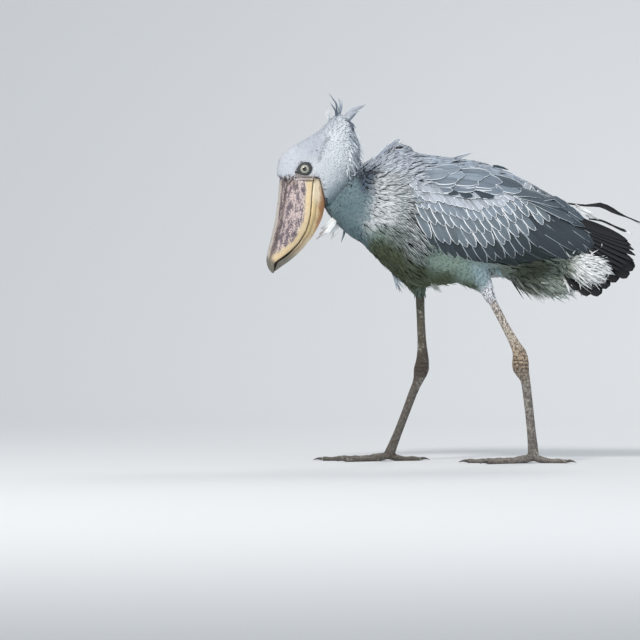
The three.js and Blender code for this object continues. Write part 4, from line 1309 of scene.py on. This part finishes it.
def plume_piece(name, group):
    parts = []
    for number, (plume, route, ys, half, strands, spread, key) in enumerate(group):
        turns = plume.startswith(("crest", "nape"))  # these turn with the head
        strand = bundle(route, ys, half, strands, spread, 60 + number, LANCE, turns)
        parts.append((*strand, *plumage_of(key, strands)))
    return grow(name, LANCE, *(np.concatenate(part) for part in zip(*parts)), thick=0.5, camber=0.2)


plumes = [plume_piece("crest_plumes", PLUMES[:5]), plume_piece("throat_plumes", PLUMES[5:8]),
          plume_piece("loose_plumes", PLUMES[8:])]

LONG_WISPS = [  # route, y at root and tip, the share of the width at each station, half width
    ([(236, 640), (317, 629), (359, 630), (386, 618), (410, 606), (440, 594), (470, 582)], (-24, -12),
     (0.3, 0.3, 0.32, 0.34, 0.36, 0.4, 0.6, 0.9, 1.0, 0.95, 0.6, 0.3, 0.24, 0.22, 0.1), 7.0),
    ([(330, 596), (360, 592), (388, 580), (410, 570), (431, 563)], (-30, -22),
     (0.5, 0.6, 0.7, 0.8, 0.8, 0.8, 0.8, 0.8, 0.7, 0.8, 0.9, 1.0, 1.0, 0.8, 0.3), 3.6),
]
for number, (route, ys, shares, half) in enumerate(LONG_WISPS):
    slim = Pattern(4, FLOW.stations, shares)
    strand = bundle(route, ys, half, 1, 0, 70 + number, slim)
    plumes.append(grow(f"wing_wisp_{number + 1}", slim, *strand, *plumage_of("primary", 1), thick=0.6))
print("plumes:", {p.name: triangles_of(p) for p in plumes})

# %% [markdown]
# ## Down and fringes
# Under the tail stands a tuft of white down, and loose feathers break the outline at the nape, the belly and the vent.
# They are thin wisps that start on the skin and stand away from it, because that is all the light shows.

# %% Wisps
def wisps(name, gap, zone, heading, length, half, stand, seed, plumage=None, pale_share=0.2):
    """Loose strands from the skin inside a zone of (points, normals). heading is a function of the roots."""
    chance = np.random.default_rng(seed)
    at, _ = sow(skin, lambda p: np.full(len(p), float(gap)), lambda p, n: zone(p, n).astype(float), seed)
    count = len(at)
    way = unit(heading(at) + chance.normal(0, 0.22, (count, 3)))
    reach = length * (0.55 + 0.75 * chance.random(count))
    lift = np.stack([np.full(count, 1.5), stand * reach * (0.5 + chance.random(count))], axis=1)
    spines, ups = lay(at, way, reach, lift, WISP.stations, 0.8)
    if plumage:
        web, rim, rim_mm = plumage_of(plumage, count)
    else:
        look = lie(at)
        web, rim, rim_mm = look["web"] * 1.25, look["rim"] * 1.2, look["rim_mm"]
        pale = (chance.random(count) < pale_share)[:, None]
        web, rim = np.where(pale, web + 0.16, web), np.where(pale, rim + 0.16, rim)
    tone = (1 + jitter(chance, count, 0.12))[:, None]
    return grow(name, WISP, spines, ups, half * (0.7 + 0.6 * chance.random(count)), web * tone, rim * tone, rim_mm,
                thick=0.35, camber=0.25, roll=jitter(chance, count, 0.5))


def from_tuft_heart(at):
    """Away from the tuft's root, and a little outwards."""
    heart = np.stack([np.full(len(at), 276.0), 24.0 * np.sign(at[:, 1]), np.full(len(at), 496.0)], axis=1)
    return unit(at - heart)


def down_and_back(slope):
    return lambda at: np.tile([math.cos(slope), 0, math.sin(slope)], (len(at), 1))


def tuft_zone(p, n):
    return between(p[:, 0], 280, 392) & between(p[:, 2], 420, 502) & (np.abs(p[:, 1]) > 10)


def belly_zone(p, n):
    high = np.interp(p[:, 0], [-165, -100, 40], [492, 462, 446])
    return between(p[:, 2], 425, high) & between(p[:, 0], -165, 40) & (n[:, 2] < -0.4)


def vent_zone(p, n):
    return between(p[:, 2], 395, 462) & between(p[:, 0], 140, 292) & (n[:, 2] < 0.1)


def ruffle_zone(p, n):
    return between(p[:, 0], -262, -222) & between(p[:, 2], 690, 812) & (n[:, 0] > 0.2)


loose = [
    wisps("white_tuft", 3.4, tuft_zone, from_tuft_heart, 34, 1.9, 0.34, 201, "down"),
    wisps("belly_fringe", 8.0, belly_zone, down_and_back(-0.7), 26, 1.7, 0.32, 202),
    wisps("vent_fringe", 6.5, vent_zone, down_and_back(-0.6), 48, 2.4, 0.36, 203, pale_share=0.4),
    wisps("nape_ruffle", 4.5, ruffle_zone, down_and_back(-1.2), 24, 1.7, 0.42, 204),
]
print("wisps:", {p.name: triangles_of(p) for p in loose})

# %% [markdown]
# ## The feathers' finish
# Every vane has its web's colour, a pale rim that follows its outline, a thin shaft and fine slanting barbs. The vane's
# own map gives the place along and across it, so one recipe serves every feather. It is mixed three times: for the
# coat, with more streaks for the stiff flight feathers, and almost plain for soft and sleek places.

# %% Plumage paint
def plumage_paint(name, roughness, barb_depth, streak=0.16, root_shade=0.35):
    paint = Paint(name, roughness=roughness, specular_ior_level=0.35)
    along, across, _ = paint.parts(paint.add("ShaderNodeUVMap", {"uv_map": "vane"}))
    off = (across * 2 - 1).maths("ABSOLUTE")
    web, rim = paint.attribute("web", "Color"), paint.attribute("rim", "Color")
    side_share, tip_share = paint.attribute("web", "Alpha"), paint.attribute("rim", "Alpha")
    near_side = off.ramp(1 - side_share * 1.1, 1 - side_share * 0.45)
    near_tip = along.ramp(1 - tip_share * 1.1, 1 - tip_share * 0.45)
    edge = near_side.maths("MAXIMUM", near_tip)
    barbs = paint.add("ShaderNodeCombineXYZ", inputs=(along * 30 - off * 9, across * 3, 0.0))
    grain = paint.noise(barbs, 1.0, 2.0)
    shaft = off.ramp(0.10, 0.03)
    root = along.ramp(0.62, 0.05)
    tinted = paint.mix(grain.ramp(0.3, 0.7) * streak, web, (0.0, 0.0, 0.0))
    tinted = paint.mix(root * root_shade, tinted, (0.01, 0.012, 0.014))
    tinted = paint.mix(shaft * 0.25, tinted, (0.02, 0.022, 0.026))
    paint.colour(paint.mix(edge * 0.9, tinted, rim))
    paint.bump(grain + shaft * 1.5, barb_depth)
    return paint.material


plumage = plumage_paint("plumage", 0.72, 0.00012)
flight = plumage_paint("flight_feather", 0.5, 0.00010, streak=0.3)
soft = plumage_paint("down_plumage", 0.8, 0.00006, streak=0.05, root_shade=0.08)
for piece in coat + big_feathers + plumes + loose:
    if piece.name.startswith(("primary", "tail", "wing_wisp")):
        material, slot = flight, "flight_feather"
    elif piece.name.startswith(("head", "neck", "white", "throat", "thigh")):
        material, slot = soft, "pale_feather"
    else:
        material, slot = plumage, "slate_feather"
    piece.data.materials.append(material)
print("painted:", len(coat + big_feathers + plumes + loose), "pieces")

# %% [markdown]
# ## The bill
# A shoebill's bill is a swollen clog of horn: a ridge along the top with a groove on each side, a sharp cutting edge,
# and a hooked nail at the tip. The solids give its form. Copies of them are remeshed finely, their facets are smoothed
# away everywhere but along the cutting edge, and the groove, the lip and the slit of a nostril are then pressed in.

# %% Bill forms
BILL_BASE = np.array([-376.0, 0, 679.0])
BILL_ALONG = unit(np.array([-0.34, 0, -0.94]))
BILL_DOWN = unit(np.array([0.94, 0, -0.34]))
CULMEN = np.array([(-42, -62), (0, -56), (30, -48), (65, -39), (105, -31), (145, -26), (178, -23), (202, -19),
                   (218, -9), (226, 4)], float)  # along the bill, and down from its axis
TOMIUM = [(-352, 720), (-352, 696), (-355, 668), (-358, 642), (-361, 605), (-371, 568), (-389, 538), (-413, 513),
          (-436, 496), (-444, 486), (-441, 455)]  # the cutting edge in the side view of the straight head
BILL_VOXEL = 1.5 * MM


def hump(values, centre, width):
    """1 at a centre, falling off softly over a width on both sides."""
    return np.exp(-((values - centre) / width) ** 2)


def give(piece, name, values):
    """A number or a vector for each point of a piece, for its shader."""
    kind, field = ("FLOAT", "value") if values.ndim == 1 else ("FLOAT_VECTOR", "vector")
    write(piece.data.attributes.new(name, kind, "POINT").data, field, values)


def bill_frame(piece):
    """For a bill piece's points: along it, sideways, below the ridge, and from the cutting edge."""
    at = straight(table_mm(points_of(piece)))
    along = (at - BILL_BASE) @ BILL_ALONG
    below = (at - BILL_BASE) @ BILL_DOWN - np.interp(along, CULMEN[:, 0], CULMEN[:, 1])
    return along, at[:, 1], below, from_line(at, TOMIUM)


def bill_half(node, name):
    """A finely remeshed copy of a solid, smoothed everywhere but at its cutting edge and its tip."""
    half = copy_of([node], name)
    apply(half, "REMESH", mode="VOXEL", voxel_size=BILL_VOXEL, use_smooth_shade=True)
    along, _, _, edge = bill_frame(half)
    weigh(half, "soft", smooth_step(2, 12, edge) * smooth_step(224, 200, along) * 0.92 + 0.08)
    apply(half, "SMOOTH", factor=0.5, iterations=26, vertex_group="soft")
    return half


def press(piece, depth):
    """Moves each point of a piece outwards by a depth in millimetres."""
    move_points(piece, points_of(piece) + normals_of(piece) * depth[:, None] * MM)


def keep_for_paint(piece, along, below, sideways, edge, groove):
    give(piece, "spot", np.stack([along, below, sideways], axis=1) / 10)  # in centimetres
    give(piece, "edge", edge)
    give(piece, "groove", groove)


upper_bill = bill_half("bill_upper", "upper_bill")
along, sideways, below, edge = bill_frame(upper_bill)
groove = hump(below, 15 - 0.03 * along, 3.2) * smooth_step(4, 26, along) * smooth_step(205, 180, along)
nostril = hump(below + 0.48 * along, 24, 1.6) * hump(along, 2, 11)
lip = hump(edge, 4.5, 3.0) * smooth_step(212, 190, along)
wear = 0.25 * np.sin(along * 0.11 + sideways * 0.05) + 0.18 * np.sin(along * 0.31 + below * 0.2)
press(upper_bill, -1.5 * groove - 2.4 * nostril + 0.7 * lip + wear * 0.7)
# groove and nostril also darken the horn's paint there, as painted shade in the recesses
keep_for_paint(upper_bill, along, below, sideways, edge, np.clip(groove * 0.8 + nostril * 1.4, 0, 1))

lower_bill = bill_half("bill_lower", "lower_bill")
along, sideways, below, edge = bill_frame(lower_bill)
ramus = hump(edge, 17 - 0.05 * along, 3.0) * smooth_step(10, 40, along) * smooth_step(190, 150, along)
press(lower_bill, -0.9 * ramus + 0.6 * hump(edge, 5, 3) + 0.25 * np.sin(along * 0.13))
keep_for_paint(lower_bill, along, below, sideways, edge, ramus * 0.5)
print("bill halves:", triangles_of(upper_bill, lower_bill), "triangles")

# %% [markdown]
# ## Inside the bill
# Between the two halves one looks into the mouth, so it needs a lining, painted dark as the mouth's shade. A narrower
# copy of the lower half, moved a little up and back, gives it. Then the tips of both are raised until the bill shuts
# under its hook.

# %% Mouth
LINING_WIDTH = 0.72  # as a share of the lower half's width
LINING_UP, LINING_BACK, TIP_RISE = 7.0, 5.0, 6.5

mouth = copy_of(["bill_lower"], "mouth_lining")
inner = straight(table_mm(points_of(mouth))) * [1, LINING_WIDTH, 1]
move_points(mouth, metres(turn_head(inner - BILL_DOWN * LINING_UP - BILL_ALONG * LINING_BACK)))
for half in (lower_bill, mouth):
    at = straight(table_mm(points_of(half)))
    tip = smooth_step(176, 224, (at - BILL_BASE) @ BILL_ALONG)
    move_points(half, metres(turn_head(at - BILL_DOWN * (TIP_RISE * tip)[:, None])))
print("mouth:", triangles_of(mouth), "triangles")

# %% [markdown]
# ## Folds of bare skin
# Between the eye and the bill the skin is bare and lies in thin pale folds that end at the gape, with a dark line
# under them; that line and the folds' dark rims are painted shade in the creases. They are slim tubes laid on whatever
# is outermost there, so that they cover the seam of skin and horn.

# %% Folds
FOLD = [(-400, 701), (-386, 696.5), (-370, 694), (-355, 695.5), (-341, 705)]
GAPE = [(-388, 691.5), (-368, 689), (-352, 689), (-346, 692), (-340, 699)]
FOLD_STEP = 3.5
BRISTLES = 64
FACE_OUT_MM = 90  # the rays towards the face start this far out, and reach this many metres
FACE_REACH = 0.12
FACE_TREES = [skin_tree, *(BVHTree.FromObject(half, bpy.context.evaluated_depsgraph_get())
                           for half in (upper_bill, lower_bill))]


def on_face(flat, side):
    """Spines laid on whatever is outermost on the face, from routes of (x, z) in the side view of the straight head."""
    outside = np.stack([flat[..., 0], np.full(flat.shape[:2], float(FACE_OUT_MM * side)), flat[..., 1]], axis=-1)
    inward = Vector(turn_head(np.array([NECK_X, -side, 0.0])) - [NECK_X, 0, 0])
    spines = turn_head(outside)
    for spot in np.ndindex(flat.shape[:2]):
        start = Vector(metres(spines[spot]))
        hits = [tree.ray_cast(start, inward, FACE_REACH) for tree in FACE_TREES]
        reach = min([hit[3] for hit in hits if hit[0] is not None], default=0.05)
        spines[spot] += np.array(inward) * (reach / MM - 0.5)
    spines[:, 1:-1] = spines[:, :-2] * 0.25 + spines[:, 1:-1] * 0.5 + spines[:, 2:] * 0.25
    return spines, np.tile(-np.array(inward), (*flat.shape[:2], 1))


def folds(side, seed):
    """Three pale folds over each other, and the dark line of the gape under them."""
    chance = np.random.default_rng(seed)
    lines = [np.array(FOLD) + [0, FOLD_STEP * number] for number in range(3)] + [np.array(GAPE)]
    flat = np.array([on_line(line + chance.normal(0, 0.35, line.shape), FLOW.stations) for line in lines])
    spines, ups = on_face(flat, side)
    # dark: painted shade, for the gape's line and for the rims between the folds
    pale, dark = srgb(186, 176, 172), srgb(62, 52, 50)
    slim = Pattern(4, FLOW.stations, tuple(np.sin(np.linspace(0.25, math.pi - 0.25, 15)) ** 0.5))
    return grow(f"skin_folds_{SIDES[side > 0]}", slim, spines, ups, np.array([1.9, 1.7, 1.5, 1.0]),
                np.array([pale, pale, pale, dark]), np.tile(dark, (4, 1)), np.full(4, 0.7), thick=2.4, camber=0.5)


def bristles(side, seed):
    """Short stiff feathers over the seam between forehead and bill."""
    chance = np.random.default_rng(seed)
    root = np.stack([np.linspace(-425, -397, BRISTLES), 698 + 6 * chance.random(BRISTLES)], axis=1)
    tip = root + np.stack([chance.normal(2.5, 1.5, BRISTLES), -4 - 9 * chance.random(BRISTLES)], axis=1)
    stations = np.array(LANCE.stations)[None, :, None]
    spines, ups = on_face(root[:, None] + (tip - root)[:, None] * stations, side)
    is_brown = (chance.random(BRISTLES) < 0.5)[:, None]
    web = np.where(is_brown, srgb(116, 102, 98), srgb(190, 192, 198))
    return grow(f"bristles_{SIDES[side > 0]}", LANCE, spines, ups, 0.6 + 0.7 * chance.random(BRISTLES), web, web,
                np.full(BRISTLES, 0.2), thick=0.8, camber=0.2)


bare_folds = [folds(side, 210 + side) for side in (LEFT, RIGHT)]
seam = [bristles(side, 220 + side) for side in (LEFT, RIGHT)]
for piece in bare_folds + seam:
    piece.data.materials.append(soft)
print("folds:", triangles_of(*bare_folds), "triangles")

# %% [markdown]
# ## Horn
# The horn is cream and straw-coloured with long purple-grey mottles over the upper half, a yellow strip along the
# cutting edge and a grey nail. The mottles are noise drawn out along the bill, so they run with its growth. The lower
# half has no mottles, and a rusty stain at its rear. The shader gets its places from numbers kept at the mesh's points.

# %% Horn paint
def horn(name, mottled):
    paint = Paint(name, specular_ior_level=0.45)
    spot = paint.attribute("spot", "Vector")
    edge, groove = paint.attribute("edge"), paint.attribute("groove")
    along, below, _ = paint.parts(spot)
    stretch = paint.stretched(spot, (0.55, 1.15, 1.15))
    broad = paint.noise(stretch, 0.8, 6.0, 0.7)
    fine = paint.noise(stretch, 5.0, 4.0, 0.6)
    hair = paint.noise(paint.stretched(spot, (0.25, 5, 5)), 2.2, 3.0)
    wild = fine + (hair - 0.5) * 0.5
    cream = paint.blend(fine, 0.3, 0.7, (228, 212, 192), (208, 188, 164))
    straw = paint.blend(fine, 0.35, 0.7, (226, 206, 168), (206, 176, 130))
    ground = paint.mix(edge.ramp(26.0, 7.0), cream, straw)
    if mottled:
        zone = (edge + (broad - 0.5) * 30).ramp(12.0, 23.0) * below.ramp(0.3, 0.8) * along.ramp(20.5, 16.0)
        mottles = (broad + (fine - 0.5) * 0.7).ramp(0.46, 0.53) * zone * 0.95
        specks = wild.ramp(0.56, 0.62) * edge.ramp(3.0, 14.0) * 0.65 * zone.ramp(0.0, 0.3)
        ridge = below.ramp(0.65, 0.3) * along.ramp(23.0, 21.0)
        ridge_line = below.ramp(0.5, 0.7) * below.ramp(1.05, 0.8) * hair.ramp(0.3, 0.5)
        base = wild.ramp(0.42, 0.5) * along.ramp(2.4, 0.2) * below.ramp(4.6, 3.4)
        height = paint.parts(paint.place())[2]
        ragged = ((fine - 0.5) * 0.03 + height).ramp(0.688, 0.6965) * along.ramp(-2.0, -1.4)
        ground = paint.wash(
            ground,
            (zone * 0.85, paint.blend(fine, 0.4, 0.6, (204, 184, 180), (176, 162, 168))),
            (mottles.maths("MAXIMUM", specks), paint.blend(hair, 0.35, 0.65, (68, 60, 68), (116, 106, 114))),
            (ridge * 0.85, paint.blend(hair, 0.35, 0.65, (140, 136, 134), (188, 184, 180))),
            (ridge_line * 0.7, (92, 82, 84)),
            (base * 0.8, (104, 90, 86)),
            (ragged * 0.9, paint.blend(hair, 0.4, 0.6, (186, 184, 190), (120, 108, 106))))
        nail_from, nail_to = 18.4, 20.0
    else:
        rust = (edge + (broad - 0.5) * 24).ramp(17.0, 27.0) * along.ramp(14.0, 7.0)
        streak = (broad + (hair - 0.5) * 0.6).ramp(0.56, 0.64)
        ground = paint.wash(
            ground, (along.ramp(14.0, 9.0) * 0.75, (236, 206, 148)), (along.ramp(5.0, 1.0) * 0.7, (236, 222, 198)),
            (rust * 0.8, (170, 106, 58)), (streak * 0.4, (156, 128, 98)))
        nail_from, nail_to = 10.5, 17.5
    nail = (along - below * 0.35).ramp(nail_from, nail_to)
    # the grooves and the nostril's slit are darkened: painted shade in the recesses
    paint.colour(paint.wash(
        ground, (nail * 0.92, paint.blend(hair, 0.3, 0.7, (126, 124, 114), (78, 76, 70))),
        (edge.ramp(2.4, 0.8) * 0.75, (70, 52, 38)), (groove * 0.85, (74, 58, 54))))
    paint.feed(paint.shader.inputs["Roughness"], 0.36 + fine * 0.2)
    paint.bump(hair * 0.6 + fine * 0.5, 0.0005, 0.8)
    return paint.material


finish_with(upper_bill, horn("horn_upper", True))
finish_with(lower_bill, horn("horn_lower", False))
# dark brown: painted shade of the inside of the mouth
lining = Paint("mouth_lining", base_color=srgb(66, 50, 44), roughness=0.6)
finish_with(mouth, lining.material)
for piece in (upper_bill, lower_bill, mouth):
    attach(piece, "root")
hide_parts("bill_upper")
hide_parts("bill_lower")
print("bill painted")

# %% [markdown]
# ## Eyes
# The eye is a ball with a small bulge for the cornea. Its iris is pale, with a black pupil and a dark outer ring, all
# set by the distance from the eye's axis. That distance is kept at the ball's points, so the pattern can't slide.

# %% Eyes
EYE_RADIUS = 15.5
IRIS_RADIUS = 10.3
PUPIL_RADIUS = 5.2
CORNEA_RADIUS, CORNEA_BULGE = 10.5, 1.5


def on_ball(name, side, kind, **settings):
    """A primitive whose Z axis is turned to the eye's axis, with its place in its mesh."""
    alone()
    turn = Vector(EYE_AXIS[side]).to_track_quat("Z", "Y").to_euler()
    kind(location=tuple(metres(EYES[side])), rotation=tuple(turn), **settings)
    bpy.ops.object.transform_apply(location=True, rotation=True)
    bpy.ops.object.shade_smooth()
    bpy.context.object.name = name
    return bpy.context.object


def eyeball(side):
    ball = on_ball(f"eyeball_{SIDES[side > 0]}", side, bpy.ops.mesh.primitive_uv_sphere_add, segments=64,
                   ring_count=48, radius=EYE_RADIUS * MM)
    points = table_mm(points_of(ball))
    ring, _, depth, (_, _, axis) = eye_view(points, side)
    bulge = np.clip(1 - (ring / CORNEA_RADIUS) ** 2, 0, 1) ** 1.5 * CORNEA_BULGE * (depth > 0)
    move_points(ball, metres(points + axis * bulge[:, None]))
    give(ball, "ring", np.where(depth > 0, ring, 40 - ring))  # the hidden half counts on outwards
    return ball


eye_paint = Paint("eye", roughness=0.06, specular_ior_level=0.7, coat_weight=0.6, coat_roughness=0.03)
ring = eye_paint.attribute("ring")
rays = eye_paint.noise(eye_paint.place(), 900.0, 2.0)
iris = eye_paint.blend(rays, 0.3, 0.7, (188, 188, 168), (150, 152, 138))
eye_paint.colour(eye_paint.wash(
    iris, (ring.ramp(IRIS_RADIUS - 2.6, IRIS_RADIUS) * 0.5, (96, 98, 92)),
    (ring.ramp(PUPIL_RADIUS + 0.9, PUPIL_RADIUS) * 0.8, (70, 72, 66)),
    (ring.ramp(PUPIL_RADIUS + 0.15, PUPIL_RADIUS - 0.15), (6, 6, 8)),
    (ring.ramp(IRIS_RADIUS, IRIS_RADIUS + 0.5), (22, 22, 24))))

eyeballs = [eyeball(side) for side in (LEFT, RIGHT)]
for ball, side in zip(eyeballs, SIDES):
    ball.data.materials.append(eye_paint.material)
    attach(ball, "root")
    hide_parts(f"eye_{side}")
print("eyeballs:", triangles_of(*eyeballs), "triangles")

# %% [markdown]
# ## Lids
# The lids are a dark ring of bare skin that runs to a point in front, like a tear. Each starts as a torus round the
# eye. Its outer half is drawn out to the tear's outline, and flattened towards the head so that feathers meet it.

# %% Lids
LID_RING, LID_THICK = 12.9, 2.7
LID_HEIGHT = 9.9  # of the ring over the eye's centre, along its axis


def lids(side):
    """The dark ring round one eye, drawn out to the tear."""
    piece = on_ball(f"lids_{SIDES[side > 0]}", side, bpy.ops.mesh.primitive_torus_add, major_segments=96,
                    minor_segments=20, major_radius=LID_RING * MM, minor_radius=LID_THICK * MM)
    ring, angle, depth, (rearward, upward, axis) = eye_view(table_mm(points_of(piece)), side)
    inside, outside = LID_RING - LID_THICK, LID_RING + LID_THICK
    outer = np.clip((ring - inside) / (outside - inside), 0, 1)
    reach = ring + (tear(angle) - outside) * outer ** 1.3 + 0.25 * np.sin(angle * 23) * outer
    lift = LID_HEIGHT + depth * 0.62 - 2.6 * outer ** 2 - 0.10 * np.clip(reach - outside, 0, 20)
    flat = np.cos(angle)[:, None] * rearward + np.sin(angle)[:, None] * upward
    move_points(piece, metres(EYES[side] + flat * reach[:, None] + axis * lift[:, None]))
    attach(piece, "root")
    return piece


lid_paint = Paint("lid_skin", roughness=0.5)
grain = lid_paint.noise(lid_paint.place(), 700.0, 3.0)
lid_paint.colour(lid_paint.blend(grain, 0.3, 0.7, (34, 36, 40), (66, 68, 72)))
lid_paint.bump(grain, 0.0006)
eyelids = [lids(side) for side in (LEFT, RIGHT)]
for piece in eyelids:
    piece.data.materials.append(lid_paint.material)
print("lids:", triangles_of(*eyelids), "triangles")

# %% [markdown]
# ## Claws
# The claws are plain curved cones of dark horn. One fine remesh of all eight solids rounds them.

# %% Claws
CLAWS = [f"{toe}_claw_{side}" for toe in TOES for side in SIDES]
claws = copy_of(CLAWS, "claws")
apply(claws, "REMESH", mode="VOXEL", voxel_size=0.8 * MM, use_smooth_shade=True)
apply(claws, "SMOOTH", factor=0.5, iterations=5)
claw_paint = Paint("claw", roughness=0.38, specular_ior_level=0.5)
layers = claw_paint.noise(claw_paint.place(scale=(1, 1, 3)), 160.0, 3.0)
claw_paint.colour(claw_paint.blend(layers, 0.35, 0.65, (44, 40, 38), (84, 78, 72)))
claw_paint.bump(layers, 0.0003)
finish_with(claws, claw_paint.material)
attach(claws, "root")
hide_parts(*CLAWS)
print("claws:", triangles_of(claws), "triangles")

# %% [markdown]
# ## Skin colours
# The skin under the plumage carries the plumage's own colours, darkened as painted shade deep in the coat, so that no
# gap between feathers flashes. On the legs it is bare, with a colour for each height, darker on the far leg as painted
# shade.
# All of it is kept at the skin's points, and so is what the next step needs: how near a point is to the ankle, and how
# far out along a toe.

# %% Skin markings
LEG_TONES = {  # height of a point on the leg, and its colour, from the floor up
    LEFT: [(0, (128, 122, 116)), (60, (140, 135, 130)), (190, (156, 152, 144)), (232, (176, 156, 136)),
           (262, (206, 184, 156)), (300, (216, 202, 184)), (360, (226, 216, 204)), (420, (200, 198, 200))],
    # the far right leg is darker than the near left one: painted shade
    RIGHT: [(0, (104, 100, 94)), (60, (108, 104, 98)), (190, (110, 105, 99)), (225, (72, 66, 60)),
            (262, (78, 74, 64)), (320, (102, 99, 86)), (420, (102, 108, 92))],
}
ANKLES = {LEFT: (163, -56, 244), RIGHT: (-77, 54, 230)}
FEET = {LEFT: (195, -52), RIGHT: (-160, 50)}
TOE_TOP = 17


def lid_zone(at):
    """1 inside the dark tear round an eye, with a soft border."""
    zone = np.zeros(len(at))
    for side in (LEFT, RIGHT):
        ring, angle, depth, _ = eye_view(at, side)
        zone = np.maximum(zone, smooth_step(1.2, -0.6, ring - tear(angle)) * (depth > 0))
    return zone


def hide_colour(at):
    """The skin's colour at points of the tables' frame."""
    # under the plumage, the web's colour darkened to 0.6 to 0.9 of itself: painted shade deep in the coat
    colour = lie(at)["web"] * (0.6 + 0.3 * np.maximum(smooth_step(-235, -285, at[:, 0]), is_thigh(at)))[:, None]
    bare = 1 - smooth_step(-12, 6, over_bare_leg(at))
    legs = np.empty_like(colour)
    for side in (LEFT, RIGHT):
        heights = [height for height, _ in LEG_TONES[side]]
        tones = np.array([srgb(*tone) for _, tone in LEG_TONES[side]])
        own = np.stack([np.interp(at[:, 2], heights, channel) for channel in tones.T], axis=1)
        legs = np.where((np.sign(at[:, 1]) == side)[:, None], own, legs)
    colour = colour + (legs - colour) * bare[:, None]
    dark = lid_zone(at)[:, None]
    return colour + (np.array(srgb(36, 38, 42)) - colour) * dark, bare


skin_at = table_mm(points_of(skin))
hide, bare = hide_colour(skin_at)
layer = skin.data.attributes.new("hide", "FLOAT_COLOR", "POINT")
write(layer.data, "color", np.concatenate([hide, bare[:, None]], axis=1))

ankle_share = np.zeros(len(skin_at))
toe_reach = np.full(len(skin_at), -1.0)
for side in (LEFT, RIGHT):
    own = np.sign(skin_at[:, 1]) == side
    ankle_share = np.maximum(ankle_share, own * hump(skin_at[:, 2], ANKLES[side][2], 26) * bare)
    reach = np.hypot(skin_at[:, 0] - FEET[side][0], skin_at[:, 1] - FEET[side][1])
    toe_reach = np.where(own & (skin_at[:, 2] < TOE_TOP), reach, toe_reach)
KNUCKLE_STEP = 31
knuckles = 0.8 * np.cos(toe_reach * 2 * math.pi / KNUCKLE_STEP) * smooth_step(18, 34, toe_reach)
press(skin, knuckles * (toe_reach > 0) * smooth_step(3, 7, skin_at[:, 2]))
on_floor = points_of(skin)
on_floor[:, 2] = np.maximum(on_floor[:, 2], 0)
move_points(skin, on_floor)
give(skin, "ankle", ankle_share)
give(skin, "toe", toe_reach)
print("skin marked:", len(skin_at), "points,", int((bare > 0.5).sum()), "of them bare")

# %% [markdown]
# ## Skin paint
# Bare legs have small horny scales like cobbles, larger shields across the toes, wrinkles at the ankle, and dark specks
# and pale worn patches over all. Cells of a Voronoi texture make the cobbles, a sine of the reach along the toe makes
# the shields, and a broken sine of the height makes the wrinkles.

# %% Skin paint
skin_paint = Paint("skin", roughness=0.6, specular_ior_level=0.35)
hide_signal = skin_paint.attribute("hide", "Color")
is_bare = skin_paint.attribute("hide", "Alpha")
ankle_signal = skin_paint.attribute("ankle")
toe_signal = skin_paint.attribute("toe")
SCALES_PER_METRE = 190.0
spot = skin_paint.place(scale=(1, 1, 0.8))
cobbles = skin_paint.add("ShaderNodeTexVoronoi", {"feature": "DISTANCE_TO_EDGE"},
                         {"Vector": spot, "Scale": SCALES_PER_METRE})
tints = skin_paint.add("ShaderNodeTexVoronoi", inputs={"Vector": spot, "Scale": SCALES_PER_METRE}, output=1)
patches = skin_paint.noise(skin_paint.place(), 55.0, 5.0, 0.65)
specks = skin_paint.noise(skin_paint.place(scale=(1, 1, 0.6)), 210.0, 3.0)
high = skin_paint.parts(skin_paint.place())[2]
ripple = (high * 620.0 + patches * 16.0 + specks * 9.0).maths("SINE")
wrinkles = (ripple + (specks - 0.5) * 1.5).ramp(-0.3, -1.0) * ankle_signal
on_toe = toe_signal.ramp(8.0, 20.0)
shields = (toe_signal * 1.35).maths("SINE").ramp(-0.55, -0.95) * on_toe
seams = (cobbles.ramp(0.15, 0.02) * (1 - on_toe)).maths("MAXIMUM", shields) * is_bare
skin_paint.colour(skin_paint.wash(
    hide_signal, (tints.ramp(0.3, 0.8) * is_bare * 0.25, (60, 52, 46)),
    (patches.ramp(0.54, 0.66) * is_bare * 0.35, (214, 206, 196)),
    (specks.ramp(0.50, 0.57) * is_bare * 0.72, (84, 72, 64)),
    (wrinkles * 0.75, (64, 52, 44)), (seams * 0.5, (62, 54, 46))))
relief = cobbles.ramp(0.0, 0.3) * (1 - on_toe) - shields
skin_paint.bump(relief * is_bare + patches * 0.4 - wrinkles * 1.6, 0.0012)
finish_with(skin, skin_paint.material)
print("skin painted:", skin_paint.material.name)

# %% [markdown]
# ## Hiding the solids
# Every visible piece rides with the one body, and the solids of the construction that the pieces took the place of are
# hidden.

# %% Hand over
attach(skin, "root")
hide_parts(*FEATHERED, *BARE)
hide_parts(*(f"crest_plume_{i}" for i in range(1, 6)))
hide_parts(*(f"throat_plume_{i}" for i in range(1, 4)))
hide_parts("wing_wisp_upper")
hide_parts("wing_wisp_lower")
for side in SIDES:
    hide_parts(f"primaries_{side}")
    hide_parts(f"tail_{side}")
